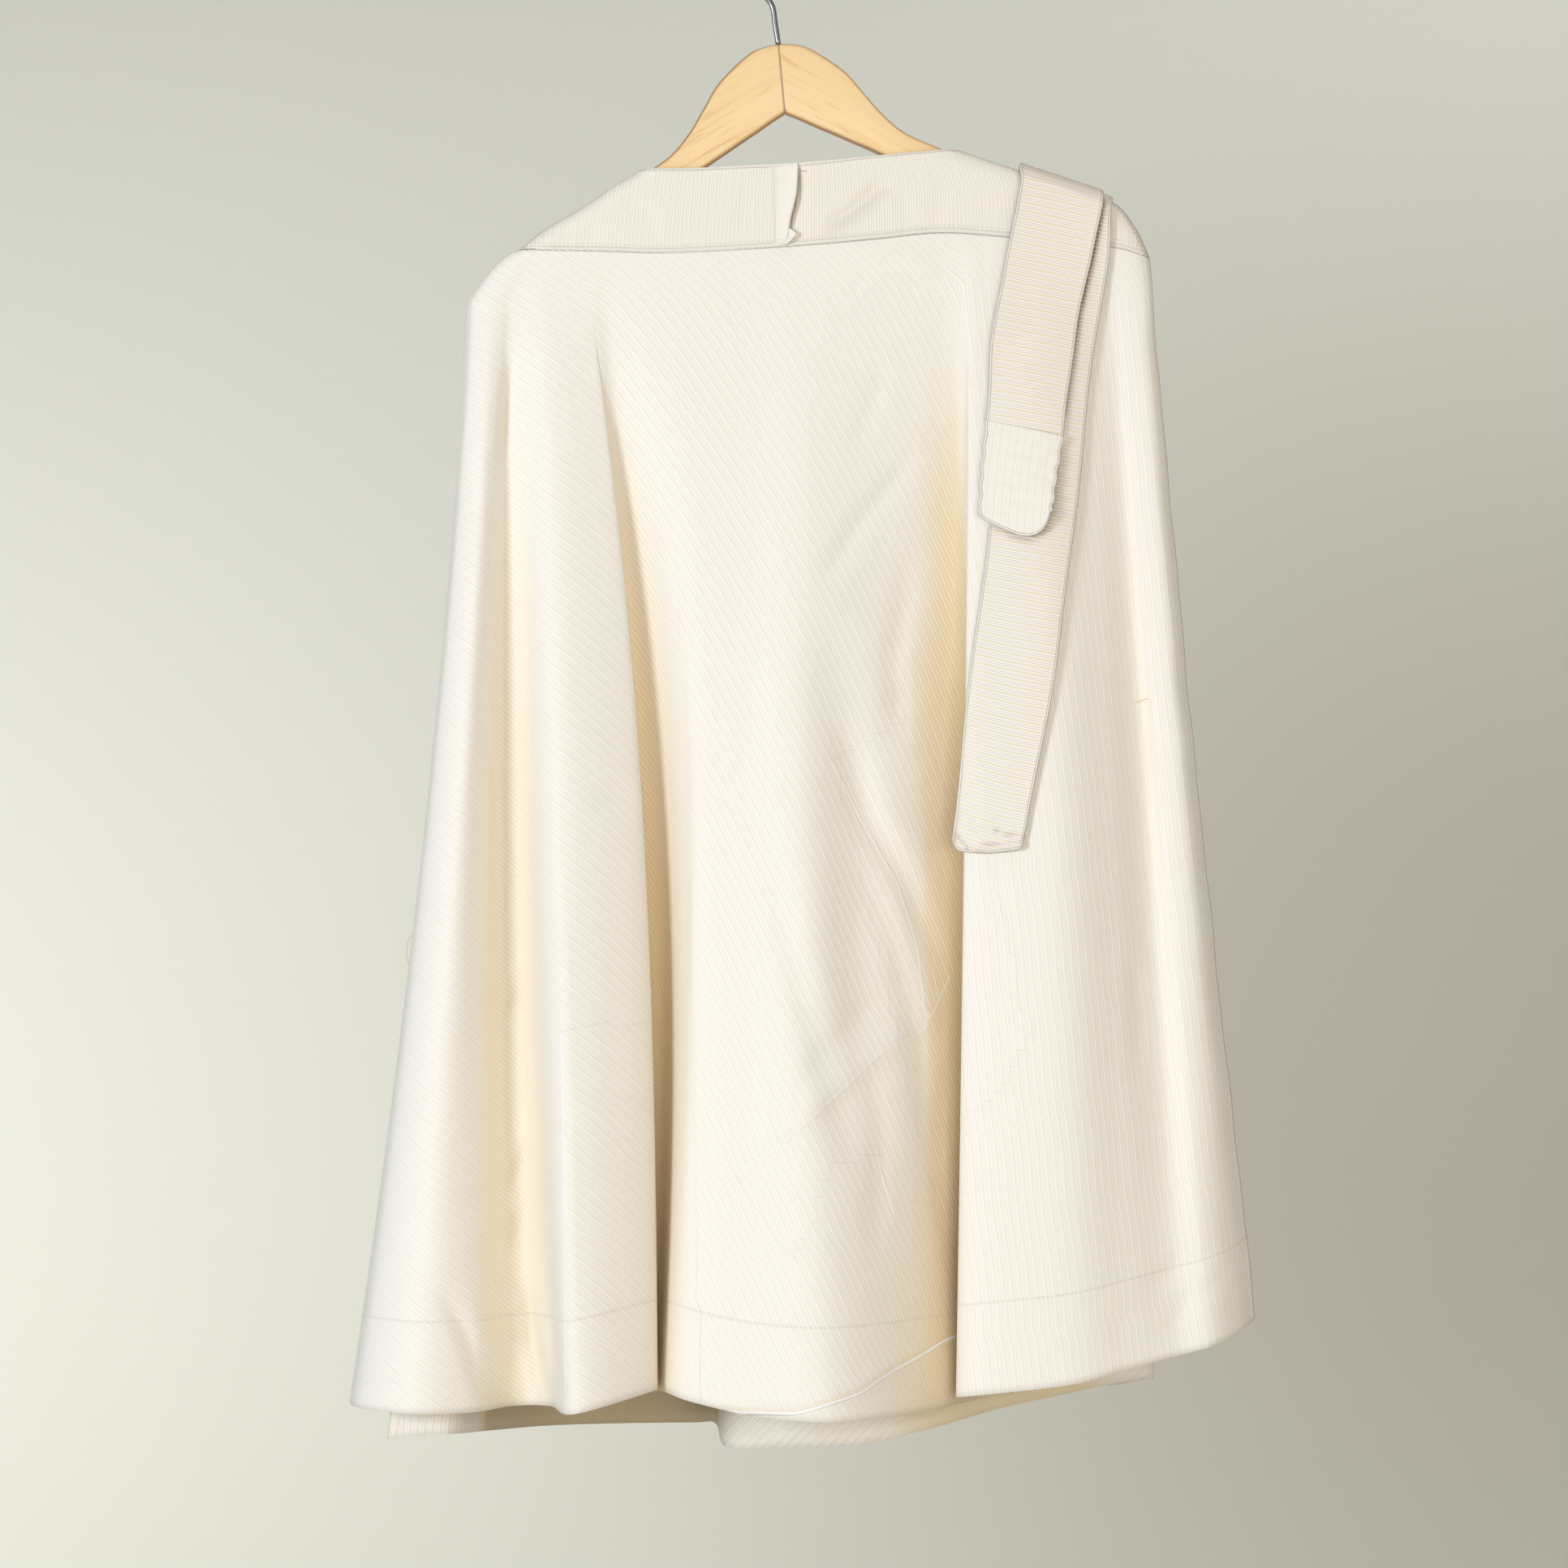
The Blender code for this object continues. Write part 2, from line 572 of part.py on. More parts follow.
def build():
    clear_scene()
    collection = bpy.data.collections.new("wrap_skirt_on_hanger")
    bpy.context.scene.collection.children.link(collection)
    cloth = make_material("striped_cotton", IVORY)
    wood = make_material("honey_wood", HONEY)
    steel = make_material("hook_wire", STEEL, metallic=1.0)
    left_band, right_band = left_band_grid(), right_band_grid()
    back_band, under_band = back_band_grid(), under_band_grid()
    front_edge = np.vstack((left_band[-1], right_band[-1]))
    front = panel_grid(FRONT_FOLDS, FRONT_BOWS, front_edge, True, False, True)
    under = panel_grid(UNDER_FOLDS, UNDER_BOWS, under_band[-1], True, False, False)
    back = panel_grid(BACK_FOLDS, {}, back_band[-1], True, True, True)
    walls = (
        ("front_wrap", front, CLOTH),
        ("under_wrap", under, CLOTH),
        ("back_panel", back, CLOTH),
        ("band_front_left", left_band, BAND),
        ("band_front_right", right_band, BAND),
        ("band_back", back_band, BAND),
        ("band_under", under_band, CLOTH),
        ("tie_long", tie_grid(TIE_LONG, LONG_OVER, front, TIE_LONG_DEPTH, TIE_LONG_ROWS,
                              ends_level=1.0), CLOTH),
        ("tie_short", tie_grid(TIE_SHORT, SHORT_OVER, front, TIE_SHORT_DEPTH,
                               TIE_SHORT_ROWS), CLOTH),
    )
    for name, grid, thickness in walls:
        cloth_wall(name, grid, thickness, cloth, collection)
    tip = tie_grid(TIE_TIP, None, front, TIE_SHORT_DEPTH, TIE_SHORT_ROWS, TIP_ROUND)
    tip[..., 2] -= SEAM_GAP
    cloth_wall("tie_short_tip", tip, CLOTH, cloth, collection)
    hanger_half("hanger_left", -1, wood, collection)
    hanger_half("hanger_right", 1, wood, collection)
    hanger_hook(steel, collection)


build()
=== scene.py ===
"""Looks of the half-circle wrap skirt on its wooden hanger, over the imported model.

Places are in millimetres in the model's own frame (x to the right, y to the back, z up, 0 at
the inside top of the hook) and become metres where a mesh is made. Every cloth piece is a
surface on a grid: rows run down the cloth and columns run across it.
"""
import math
from functools import partialmethod

import bpy
import numpy as np
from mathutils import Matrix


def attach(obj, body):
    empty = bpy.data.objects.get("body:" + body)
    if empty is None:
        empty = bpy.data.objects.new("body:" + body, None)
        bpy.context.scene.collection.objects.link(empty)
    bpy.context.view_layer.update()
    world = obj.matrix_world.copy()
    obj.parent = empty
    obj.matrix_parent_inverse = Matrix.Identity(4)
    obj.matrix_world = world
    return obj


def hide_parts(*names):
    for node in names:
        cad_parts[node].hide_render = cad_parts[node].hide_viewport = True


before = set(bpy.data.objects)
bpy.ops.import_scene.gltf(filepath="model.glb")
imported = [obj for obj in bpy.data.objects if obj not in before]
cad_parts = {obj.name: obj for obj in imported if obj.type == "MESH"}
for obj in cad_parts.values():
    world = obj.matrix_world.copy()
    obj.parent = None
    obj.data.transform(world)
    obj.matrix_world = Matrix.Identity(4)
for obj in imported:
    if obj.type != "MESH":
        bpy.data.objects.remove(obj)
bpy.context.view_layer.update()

MM = 0.001

# --- sizes drawn finer than in the solids ---
PANEL_WALL = 0.9
BAND_WALL = 1.3
TIE_WALL = 1.1
ARM_ROUND = 3.6             # radius of an arm's long edges
ARM_END = 5.0               # from its end an arm draws in over this length

# --- sizes shared with the solids ---
SIDE_GAP = 0.45             # each side of a side seam, to the middle of the wall's end
SEAM_BELOW = 0.45           # from a band's lower edge down to its panel
FRONT_DEPTH = 11.0          # outer front, from the middle of the hanger
UNDER_DEPTH = 8.4           # inner front
BACK_DEPTH = 9.4            # back
BAND_TURN = 5.0             # depth left at the outer band's right end
HANGER_THICK = 12.0
HANGER_TILT = math.radians(5.5)
HANGER_NECK = (5.3, -58.3)  # x, z of the place from which the arms are measured
MITRE_GAP = 0.3             # between the two arms
WIRE = 3.6
HOOK_RADIUS = 13.8
SHOULDER_PUSH = 32.0        # the arm's end pushes the panel's side out this far
SHOULDER_REACH = 80.0       # how far in across the panel the push is felt
SHOULDER_RISE = 0.045       # share of the length in which the push comes to its full
SHOULDER_START = 0.6        # power of its rise
SHOULDER_FADE = 2.2         # power of its fall
FREE_BOW = 3.0              # how far the free edge bows in at half its length
FREE_REACH = 40.0
FOLD_ONSET = 0.04           # share of the length above which the folds have no depth
FOLD_GROWTH = 1.12          # power of their growth below it
SLIT_LINE = (18.3, 17.8, 16.2, 13.2, 11.0)   # x of the tie slit, from top edge to seam
SLIT_FACING = 4.4           # x where the plain facing of the slit's left edge begins
BACK_SAG = 50.0             # the back's top edge hangs this far below the front's
BACK_SEAM_SAG = 48.0
BACK_INSIDE = 3.4           # the back turns over the right arm this far inside the front
BACK_RIGHT_SEAM = (241, -200)
UNDER_STARTS = (-70, -148)  # x of the inner band's free end at its top edge and its seam
UNDER_DROP = 3.0            # the inner front's waist seam lies this much lower
TIE_LONG_DEPTH = 1.9        # clear of what it lies on, to its middle
TIE_SHORT_DEPTH = 4.1
TIE_SLANT = 0.22            # how much lower a tie's right edge lies, for its width
TIE_BEHIND = 34.0           # how far a tie's hidden end lies below the top edge
TIE_TURN = 0.9              # height of the turn over the arm, for its depth

# The cut: half a ring of cloth, stripes parallel to its straight edges.
CUT_WAIST = 384.0           # radius of the waist's curve
CUT_HEM = 1134.0            # radius of the hem's curve
STRIPE = 5.2                # one whole repeat of the stripes
HEM_FOLD = 58.0             # the hem is turned up this far
SIDE_HEM = 7.6              # narrow hem of a free edge
RIM = 1.5                   # from a tie's edge to its sewing
STITCH = 3.1                # from one stitch to the next
STITCH_LONG = 2.2
STITCH_WIDE = 0.5
BAND_LAP = 0.9              # the band's lower edge laps over the panel

# Waist seam, top edge and side lines of the outer band: x, z
WAIST_SEAM = ((-164, -193), (-111, -194), (-63, -195), (12, -191), (70, -186), (112, -182),
              (157, -185), (221, -191), (248, -198))
BAND_TOP = ((-84.7, -141.3), (-46, -140.7), (-13, -139), (27, -136.7), (77, -132), (112, -129),
            (123, -129))
BAND_LEFT = ((-84.7, -141.3), (-103, -152), (-118, -162.6), (-133, -171.6), (-148, -180.5),
             (-164, -193))
BAND_RIGHT = ((123, -129), (147, -137), (190, -151), (223, -162), (238, -178), (248, -198))

# Folds of each panel, from one side to the other: fold, waist x, hem x, y and z, and how far
# it bows to the right and to the back, halfway down
FRONT_FOLDS = (
    ("side seam", -164, -274, -0.45, -947, 0, 0),
    ("side turn", -163, -273.5, -20, -947, 0, 0),
    ("side", -160, -263, -54, -945, -2, -6),
    ("left swell", -154, -228, -78, -945, -5, -8),
    ("left fall", -149, -192, -66, -946, -12, -2),
    ("left dip", -144, -166, -38, -946, -18, 5),
    ("left rise", -138, -141, -52, -944, -16, 2),
    ("left ridge", -128, -123, -104, -941, -6, -4),
    ("left lip", -112, -73.9, -72, -931, 9, 2),
    ("pleat left", -105, -83, -40, -938, 5, 3),
    ("pleat bottom", -97, -85, -27, -941, 6, 9),
    ("pleat right", -88, -76, -30, -938, 12, 4),
    ("right lip", -76, -67.3, -66, -932.7, 17, 0),
    ("middle left", -52, -50, -84, -936.2, 8, -3),
    ("middle", -8, -10, -98, -943, -4, -4),
    ("middle ridge", 30, 38, -110, -945, -9, -7),
    ("middle slope", 78, 90, -76, -945, -3, 2),
    ("tuck in", 112, 141, -28, -942, 0, 7),
    ("tuck turn", 121, 158, -26, -940, 0, 6),
    ("tuck out", 127, 146, -40, -938, 0, 2),
    ("tuck lip", 133, 120, -60, -937, 0, -3),
    ("right swell", 144, 136, -77, -933, 0, -4),
    ("right front", 178, 192, -80, -926, 0, -10),
    ("right slope", 204, 230, -68, -918, 3, 0),
    ("right dip", 220, 262, -56, -911, 5, 12),
    ("free swell", 230, 285, -54, -905, 0, 4),
    ("free side", 240, 304, -38, -898, 0, -3),
    ("free edge", 248, 317, -15, -893, 0, 0),
)
UNDER_FOLDS = (
    ("side seam", 241, 254, 29.55, -938, 0, 0),
    ("side turn", 239, 251, 20, -937, 0, 0),
    ("side", 232, 238, 14, -937, 0, 5),
    ("right", 200, 190, 6, -946, 0, 7),
    ("right middle", 150, 150, 7, -955, 0, 5),
    ("swell", 100, 108, -12, -964, 0, 5),
    ("middle", 50, 60, -13, -975, 0, 0),
    ("middle left", 5, 5, -20, -976, 0, 0),
    ("lip", -25, -28, -12, -977, 0, 0),
    ("fold side", -33, -36, 34, -969, 0, 0),
    ("fold right", -60, -52, 94, -978, 0, 4),
    ("fold bottom", -95, -98, 110, -981, 0, 5),
    ("fold left", -125, -150, 94, -980, 0, 4),
    ("fold out", -134, -186, 30, -973, 0, 0),
    ("left lip", -139, -203, -25, -966, 0, 3),
    ("left", -143, -224, -30, -966, 0, 5),
    ("free edge", -148, -250, -22, -970, 0, 6),
)
BACK_FOLDS = (
    ("left seam", -164, -274, 0.45, -947, 0, 0),
    ("left turn", -162, -271, 18, -949, 0, 0),
    ("left side", -155, -252, 56, -960, 0, 0),
    ("left swell", -122, -205, 98, -972, 0, 0),
    ("left ridge", -84, -146, 138, -978, 0, 0),
    ("left dip", -52, -98, 121, -976, 0, 0),
    ("middle left", -18, -44, 142, -979, 0, 0),
    ("middle dip", 28, 22, 74, -977, 0, 0),
    ("middle ridge", 70, 88, 138, -976, 0, 0),
    ("right dip", 112, 142, 62, -964, 0, 0),
    ("right ridge", 156, 192, 110, -956, 0, 0),
    ("right slope", 200, 232, 64, -948, 0, 0),
    ("right side", 228, 248, 48, -942, 0, 0),
    ("right turn", 238.5, 253.5, 38, -939, 0, 0),
    ("right seam", 241, 254, 30.45, -938, 0, 0),
)
# Ties on the front: centre x, z and half width, from the band's edge or the tip's seam down.
# Over the band: centre x and half width behind it and on its crest
TIE_SHORT = ((185, -185, 26.5), (172, -250, 26.5), (165.5, -313, 25))
SHORT_OVER = ((196, 27), (191, 27))
TIE_TIP = ((165.5, -313, 25), (161, -346, 23.9), (158.3, -379, 23.2))
TIE_LONG = ((197, -190, 25), (183.5, -270, 26), (169.5, -380, 26.8), (155.5, -480, 26.3),
            (139.8, -586, 22.4))
LONG_OVER = ((204, 25), (199, 25))
# Lower edges of the tie ends, from left to right: share across, height over the lowest place
TIP_FOOT = ((-1, 13.9), (-0.65, 9), (-0.3, 4.9), (0.13, 0.7), (0.4, 0), (0.62, 1.2), (0.8, 4.6),
            (0.92, 9.6), (1, 15.5))
LONG_FOOT = ((-1, 8), (-0.92, 3.2), (-0.78, 0.6), (-0.5, 0), (0.1, -0.4), (0.6, 0.8), (0.9, 1.9),
             (1, 4))
LONG_LOWEST = -587.8
TIP_LOWEST = -383.3

# Hanger arm, from the neck outward: along, top edge, bottom edge
ARM = ((0, 0, -45.7), (9, -1, -50.4), (18, -3.7, -55.5), (30, -11.9, -62), (42.6, -23.2, -69),
       (52.7, -37.2, -74.5), (64.2, -52.9, -81.5), (78.5, -66.8, -90), (101.8, -80.1, -104),
       (108, -87.5, -107.5), (116, -92, -112), (133, -99, -122), (150, -106, -131),
       (165, -112.4, -139.5), (175, -117.9, -145), (190, -128.2, -152.5), (200, -135.5, -156.5),
       (205, -144, -157))
# The wire, x and z up to its round bow, which runs between two angles
HOOK_SHANK = ((5.3, -57.9), (3.2, -44), (1.4, -33), (-3.5, -26.5), (-10.6, -21))
HOOK_TURN = (math.radians(200), math.radians(-35))

# Creases pressed into the panels, ties and band: first and last fold, how far the cloth goes
# back (+) or comes forward (-), width, lean to one side, then places along it as x, z.
# The front's are by the tuck, by the pleat, across the middle, on the left, on the right,
# along the hem, then its pinches and the soft falls beside the tuck.
FRONT_CREASES = (
    (13, 16, 1.6, 4, 0.7, (75, -268), (73, -282), (64, -308), (54, -331)),
    (13, 17, 2.3, 5, 0.9, (98, -323), (89, -339), (57, -379), (33, -420)),
    (14, 17, 1.6, 6, 0.5, (97, -477), (77, -499)),
    (6, 9, 1.3, 4, 0.7, (-66, -395), (-78, -405), (-86, -421)),
    (7, 9, 1, 6, 0.6, (-118, -560), (-100, -548), (-86, -560)),
    (12, 17, -2.2, 4, 1, (113, -686), (82, -708), (52, -732), (-38, -807)),
    (12, 16, 1.6, 6, 0.6, (90, -664), (60, -694), (30, -724), (4, -756)),
    (14, 17, 2, 5, 0.8, (66, -716), (73, -768), (70, -805), (67, -851)),
    (3, 8, 2.2, 7, 0.9, (-203, -820), (-165, -785), (-125, -743)),
    (3, 8, 1.6, 8, 0.8, (-196, -700), (-170, -680), (-140, -640)),
    (3, 8, 2, 7, -0.7, (-195, -860), (-160, -822), (-130, -790)),
    (6, 8, -1.5, 2.4, 0.2, (-139, -540), (-133, -640), (-128, -740), (-126, -840), (-124, -944)),
    (4, 7, 2.6, 4, 0.5, (-166, -262), (-171, -290), (-176, -338)),
    (21, 25, 0.9, 2.6, 1, (165, -601), (235, -586), (272, -577)),
    (22, 24, 1.2, 6, 0.5, (237, -655), (239, -700), (238, -732)),
    (22, 26, 1.6, 6, 0.7, (236, -868), (262, -852), (290, -842)),
    (23, 26, 1.5, 5, -0.7, (256, -896), (272, -876), (300, -862)),
    (13, 17, -2.6, 3, 0.8, (-19, -932), (30, -930), (57, -923), (83, -909), (115, -898)),
    (7, 9, 1.2, 3, 0.9, (-106, -878), (-92, -883), (-80, -884)),
    (3, 8, 4, 5, 0.9, (-158, -862), (-152, -905), (-143, -941)),
    (3, 8, -3, 4, 0.9, (-146, -866), (-142, -910), (-134, -941)),
    (3, 8, 2.6, 3.5, 0.9, (-138, -884), (-134, -915), (-128, -940)),
    (2, 6, 2.6, 5, -0.8, (-212, -868), (-196, -900), (-186, -938)),
    (2, 6, -2, 5, 0.8, (-190, -880), (-176, -905), (-170, -940)),
    (13, 18, 3.6, 9, 0.8, (50, -500), (66, -563), (93, -612), (112, -670)),
    (13, 17, 6, 19, 0.3, (40, -430), (52, -520), (58, -600), (60, -700), (52, -790)),
    (13, 17, 3, 10, -0.6, (-6, -560), (8, -640), (30, -720), (50, -790)),
    (14, 17, 2.6, 7, 0.8, (62, -590), (84, -650), (98, -720), (104, -800)),
    (15, 17, 2.2, 7, 0.6, (92, -390), (88, -430), (82, -465), (84, -520)),
    (15, 17, 1.8, 7, -0.6, (112, -720), (104, -790), (108, -850)),
)
UNDER_CREASES = (
    (3, 8, 1.8, 6, 0.8, (20, -560), (80, -610), (150, -640)),
    (2, 6, 1.8, 6, -0.8, (90, -820), (140, -790), (200, -780)),
    (13, 15, 1.6, 5, 0.7, (-150, -700), (-170, -780), (-180, -860)),
)
BACK_CREASES = (
    (2, 5, 2.4, 7, 0.8, (-190, -620), (-160, -660), (-120, -720)),
    (4, 9, 2.2, 6, -0.8, (-90, -480), (-30, -520), (50, -600)),
    (8, 12, 2.4, 7, 0.8, (90, -760), (140, -720), (200, -690)),
    (8, 12, 1.8, 6, 0.7, (96, -360), (130, -400), (170, -470)),
    (3, 6, 2.4, 5, 0.9, (-150, -870), (-138, -910), (-128, -970)),
    (9, 12, 2.2, 5, -0.9, (150, -850), (160, -900), (172, -955)),
)
LONG_CREASES = (
    (0, 1, 1.8, 1.4, 0.8, (124, -570), (137, -572), (152, -566)),
    (0, 1, 1.5, 2.4, 0.8, (120, -576), (134, -583), (150, -588)),
    (0, 1, 0.8, 2.6, -0.6, (122, -558), (128, -570), (140, -580)),
    (0, 1, 0.5, 6, 0.4, (146, -470), (160, -476), (176, -468)),
)
TIP_CREASES = (
    (0, 1, 0.5, 3.5, 0.3, (150, -361), (163, -357), (178, -360)),
    (0, 1, 0.4, 2.5, 0.5, (166, -341), (176, -338), (184, -333)),
)
# A turned-up edge of the outer hem, shown by a bump, a painted highlight along it and painted shade
# below it: x, z
HEM_HIGHLIGHT_LINE = ((-44, -942), (-19, -941.5), (16, -940), (38, -933.5), (57, -928.5), (70, -921),
              (80, -916), (97, -909), (112, -902), (125, -899))
# Left border of the even shade beside the tuck, from below: x, z
TUCK_BORDER = ((104.3, -852), (102.1, -773), (100.6, -694), (99, -641), (96.3, -588), (94.2, -535),
               (89.5, -482))
# How much painted shade the inner front's lower part gets: x, share
UNDER_SHADE = ((-205, 0), (-188, 0.5), (-30, 0.3), (-10, 0), (60, 0.15), (95, 0.7), (115, 0.85),
               (205, 0.85), (235, 0.2))
# Sharp lines on the outer front, shown by a bump and a painted highlight: a fold's ridge, then three
# that cross
HIGHLIGHT_CREASES = (
    ((-133, -698), (-131.5, -760), (-130.5, -830), (-129.5, -900), (-129, -960)),
    ((117.8, -667), (100.4, -702.5), (90, -708), (74, -714), (41.8, -743), (6.4, -772.7),
     (-22.6, -793.3)),
    ((38.6, -526), (59.2, -567.4), (82.9, -608.6), (95.6, -649.7), (101.4, -702.5)),
    ((68.2, -778.5), (72, -795), (79.8, -819.7)),
)
# Lines of painted shade in the sharp wrinkles of the long tie's end: the groove over its hem, one
# above it, the left corner
TIE_WRINKLE_SHADOWS = (
    ((134.1, -583.5), (140.9, -582.5), (150.3, -583), (159.7, -581.9), (163.9, -580.4)),
    ((143.5, -573.3), (152.9, -576.5), (162.4, -577.2), (167.8, -575.1)),
    ((119.2, -574.4), (123.4, -579.7), (127.6, -585)),
)
BAND_DENTS = (
    (0, 1, 2.4, 3.6, 0.6, (36, -178), (53, -167.5), (63, -159), (71, -152), (79, -146)),
    (0, 1, 0.8, 6, 0.4, (118, -140), (112, -160), (108, -184)),
    (0, 1, 0.6, 5, 0.4, (86, -150), (90, -170), (88, -184)),
    (0, 1, 0.5, 6, 0.4, (-10, -150), (-18, -172), (-16, -190)),
    (0, 1, 0.6, 6, 0.4, (-96, -160), (-80, -172), (-74, -190)),
)
# The shaded line of the first dent, which runs up from the slit
DENT_SHADE = ((30, -186), (40.6, -180), (52.6, -173), (61.6, -165.7), (70, -158.8), (77.3, -153))
# The turned-out lower corner of the slit's left edge, from its top round to its left end:
# x, y, z of the fold beside the slit, then of the free edge
CORNER_FOLD = ((12.3, -12.3, -180.6), (12.4, -12.5, -183.6), (11.5, -12.6, -186.6),
               (9.2, -12.6, -189.4), (4.8, -12.2, -191.3))
CORNER_EDGE = ((12.9, -12.6, -180.9), (17, -14.3, -184.1), (14.9, -15, -187.2),
               (10.9, -14.8, -190.6), (4.9, -12.9, -191.9))
# A thread that hangs from the left fold: how far out from it, z
LOOSE_THREAD = ((-0.2, -641), (-2.6, -645), (-3.1, -650), (-2.7, -656), (-1.2, -661), (0.4, -664))
FLECK = ((238, -489.6), (240.5, -490.3), (243.5, -488.8), (247, -488.2))
# Bar of stitches at the slit's head: x, z of the middle, x and z of its direction
BAR = ((16.9, -141.6, 0, 1), (18.9, -141.8, 0, 1), (17.9, -142.6, 1, 0), (20.6, -142.9, 1, -0.1),
       (22.9, -143.1, 1, -0.1))

# Shapes of the grids
ROW_POWER = 1.25            # rows of a panel are closer together near its waist
TUCK_TURN = 180             # column of the front that turns in behind the tuck
TUCK_LIP = 200              # first column right of the tuck
BAND_COLUMNS = 90
BAND_ROWS = 26
# Panels: node, folds, creases, columns a fold, rows, waviness of the free edge, start and end
# on the half ring in degrees, the folds that hide the rest of the cloth, what holds it
PANELS = (
    ("front_wrap", FRONT_FOLDS, FRONT_CREASES, 10, 170, 0.28, (61.5, 0.0), ((8, 10), (17, 19)),
     ("band_left_cloth", "band_right_cloth")),
    ("under_wrap", UNDER_FOLDS, UNDER_CREASES, 8, 120, 0.4, (122.0, 180.0), ((9, 13),),
     ("band_under_cloth",)),
    ("back_panel", BACK_FOLDS, BACK_CREASES, 8, 120, 0.0, (61.5, 122.0), ((0, 14),),
     ("band_back_cloth",)),
)

# Shade in the folds: how far across a panel a fold can shut a place in, how strongly that
# darkens the front across it, and the strength of the shade beside the tuck
SHADE_REACH = 0.22
SHADE_PLACES = (0, 0.24, 0.31, 0.66, 0.74, 1)
SHADE_SHARES = (0.75, 0.75, 0.98, 0.92, 0.7, 0.6)
TUCK_DARK = 0.22
TUCK_SHADED = (14, 17.6)    # folds between which that shade lies
# Extra darkness along single folds: fold number, width in folds, amount at waist, quarter,
# half, three quarters and hem
SHADED_FOLDS = (
    (16.9, 0.50, (0.10, 0.34, 0.14, 0.06, 0.26)),
    (16.2, 0.60, (0.02, 0.10, 0.05, 0.04, 0.36)),
    (6.1, 0.50, (0.0, 0.06, 0.12, 0.10, 0.04)),
    (9.5, 1.20, (0.0, 0.06, 0.04, 0.26, 0.0)),
)
FAR = 60.0                  # stands for the distance from a line past its ends

IVORY = (0.86, 0.835, 0.782)
# painted light: a paler ivory for the inner front, which lies in the outer front's shade
PAINTED_LIGHT_IVORY = (0.94, 0.925, 0.885)
BEIGE = (0.76, 0.665, 0.50)
# painted shadow: beside the slit and where the short tie shades the long one
PAINTED_SHADOW_BROWN = (0.20, 0.125, 0.06)
GREY_THREAD = (0.60, 0.515, 0.43)
# the raised white threads, and the painted highlight on sharp creases
WHITE_THREAD_AND_HIGHLIGHT = (0.92, 0.91, 0.89)
CREAM = (0.88, 0.80, 0.62)
# painted shadow lines: just below the band's lap, and at the very rim of the ties
PAINTED_SHADOW_GREY = (0.22, 0.20, 0.18)
# painted shade in the folds, then its deepest tone
PAINTED_FOLD_SHADE = (0.77, 0.59, 0.31)
PAINTED_DEEP_SHADE = (0.38, 0.27, 0.145)
HONEY = (0.87, 0.63, 0.33)
GRAIN = (0.66, 0.38, 0.14)
# painted shade on the arm's edges
PAINTED_EDGE_SHADE = (0.42, 0.17, 0.045)
PANEL_STITCH = (0.81, 0.785, 0.725)
BAND_STITCH = (0.80, 0.77, 0.71)

CAMERA_PLACE = (0.00906, -2.6, -0.54366)
# Floor and wall: corners, light paint, the painted shadow's colour, and the distances where each is
# reached
STUDIO = (
    ("floor", ((-8, -8, -2.1), (8, -8, -2.1), (8, 4.2, -2.1), (-8, 4.2, -2.1)),
     (0.70, 0.70, 0.65), (0.62, 0.61, 0.56), 3.0, 0.5),
    ("wall", ((-8, 4.2, -2.1), (8, 4.2, -2.1), (8, 4.2, 5), (-8, 4.2, 5)),
     (0.80, 0.81, 0.75), (0.62, 0.60, 0.52), 1.9, 0.2),
)
# Light, place, aimed at, size, watts, colour
LIGHTS = (
    ("key", (-2.45, -2.25, -0.25), (0, 0, -0.6), 0.8, 58.0, (0.90, 1.0, 1.12)),
    ("front", (0.7, -3.4, -0.7), (0, 0, -0.6), 2.2, 49.0, (1.09, 1.0, 0.89)),
    ("fill", (2.4, -2.0, -0.3), (0, 0, -0.6), 1.6, 8.0, (0.92, 0.97, 1.0)),
    ("top", (0.0, -0.6, 2.0), (0, 0, -0.4), 2.0, 10.0, (1.0, 1.0, 1.0)),
    ("wall_left", (-2.2, 2.0, -1.3), (0.0, 4.2, -0.9), 2.4, 50.0, (1.0, 1.0, 0.97)),
    ("wall_right", (1.9, 2.4, 1.6), (1.5, 4.2, 0.5), 1.6, 14.0, (1.0, 1.0, 0.98)),
)


# --- curves and surfaces ---
def held(value):
    """The value, kept from 0 to 1."""
    return np.clip(value, 0, 1)


def bell(distance, width):
    """exp(-(distance / width)^2)."""
    return np.exp(-(distance / width) ** 2)


def unit(ways):
    """Directions of length 1."""
    return ways / np.linalg.norm(ways, axis=-1, keepdims=True)


def shares(rows, columns):
    """Share of the way down for each row, and of the way across for each column."""
    return np.linspace(0, 1, rows)[:, None], np.linspace(0, 1, columns)[None]


def way_along(places, axis=0):
    """The way passed from the first place to each one, down or across."""
    step = np.linalg.norm(np.diff(places, axis=axis), axis=-1)
    return np.insert(np.cumsum(step, axis=axis), 0, 0.0, axis=axis)


def through(points, at, before=None, after=None):
    """Catmull-Rom curve: at runs from 0 at the first point to 1 at the last, and the curve
    passes through every point with the slope of the line between its neighbours."""
    points = np.asarray(points, float)
    first = 2 * points[0] - points[1] if before is None else before
    last = 2 * points[-1] - points[-2] if after is None else after
    row = np.concatenate((first[None], points, last[None]))
    place = held(np.asarray(at, float)) * (len(points) - 1)
    span = np.minimum(place.astype(int), len(points) - 2)
    part = (place - span).reshape(place.shape + (1,) * (points.ndim - 1))
    a, b, c, d = (row[span + k] for k in range(4))
    return 0.5 * (2 * b + (c - a) * part + (2 * a - 5 * b + 4 * c - d) * part ** 2
                  + (3 * b - a - 3 * c + d) * part ** 3)


def height_at(line, x):
    """Height of an x, z line at x, straight between its points."""
    return np.interp(x, *np.asarray(line, float).T)


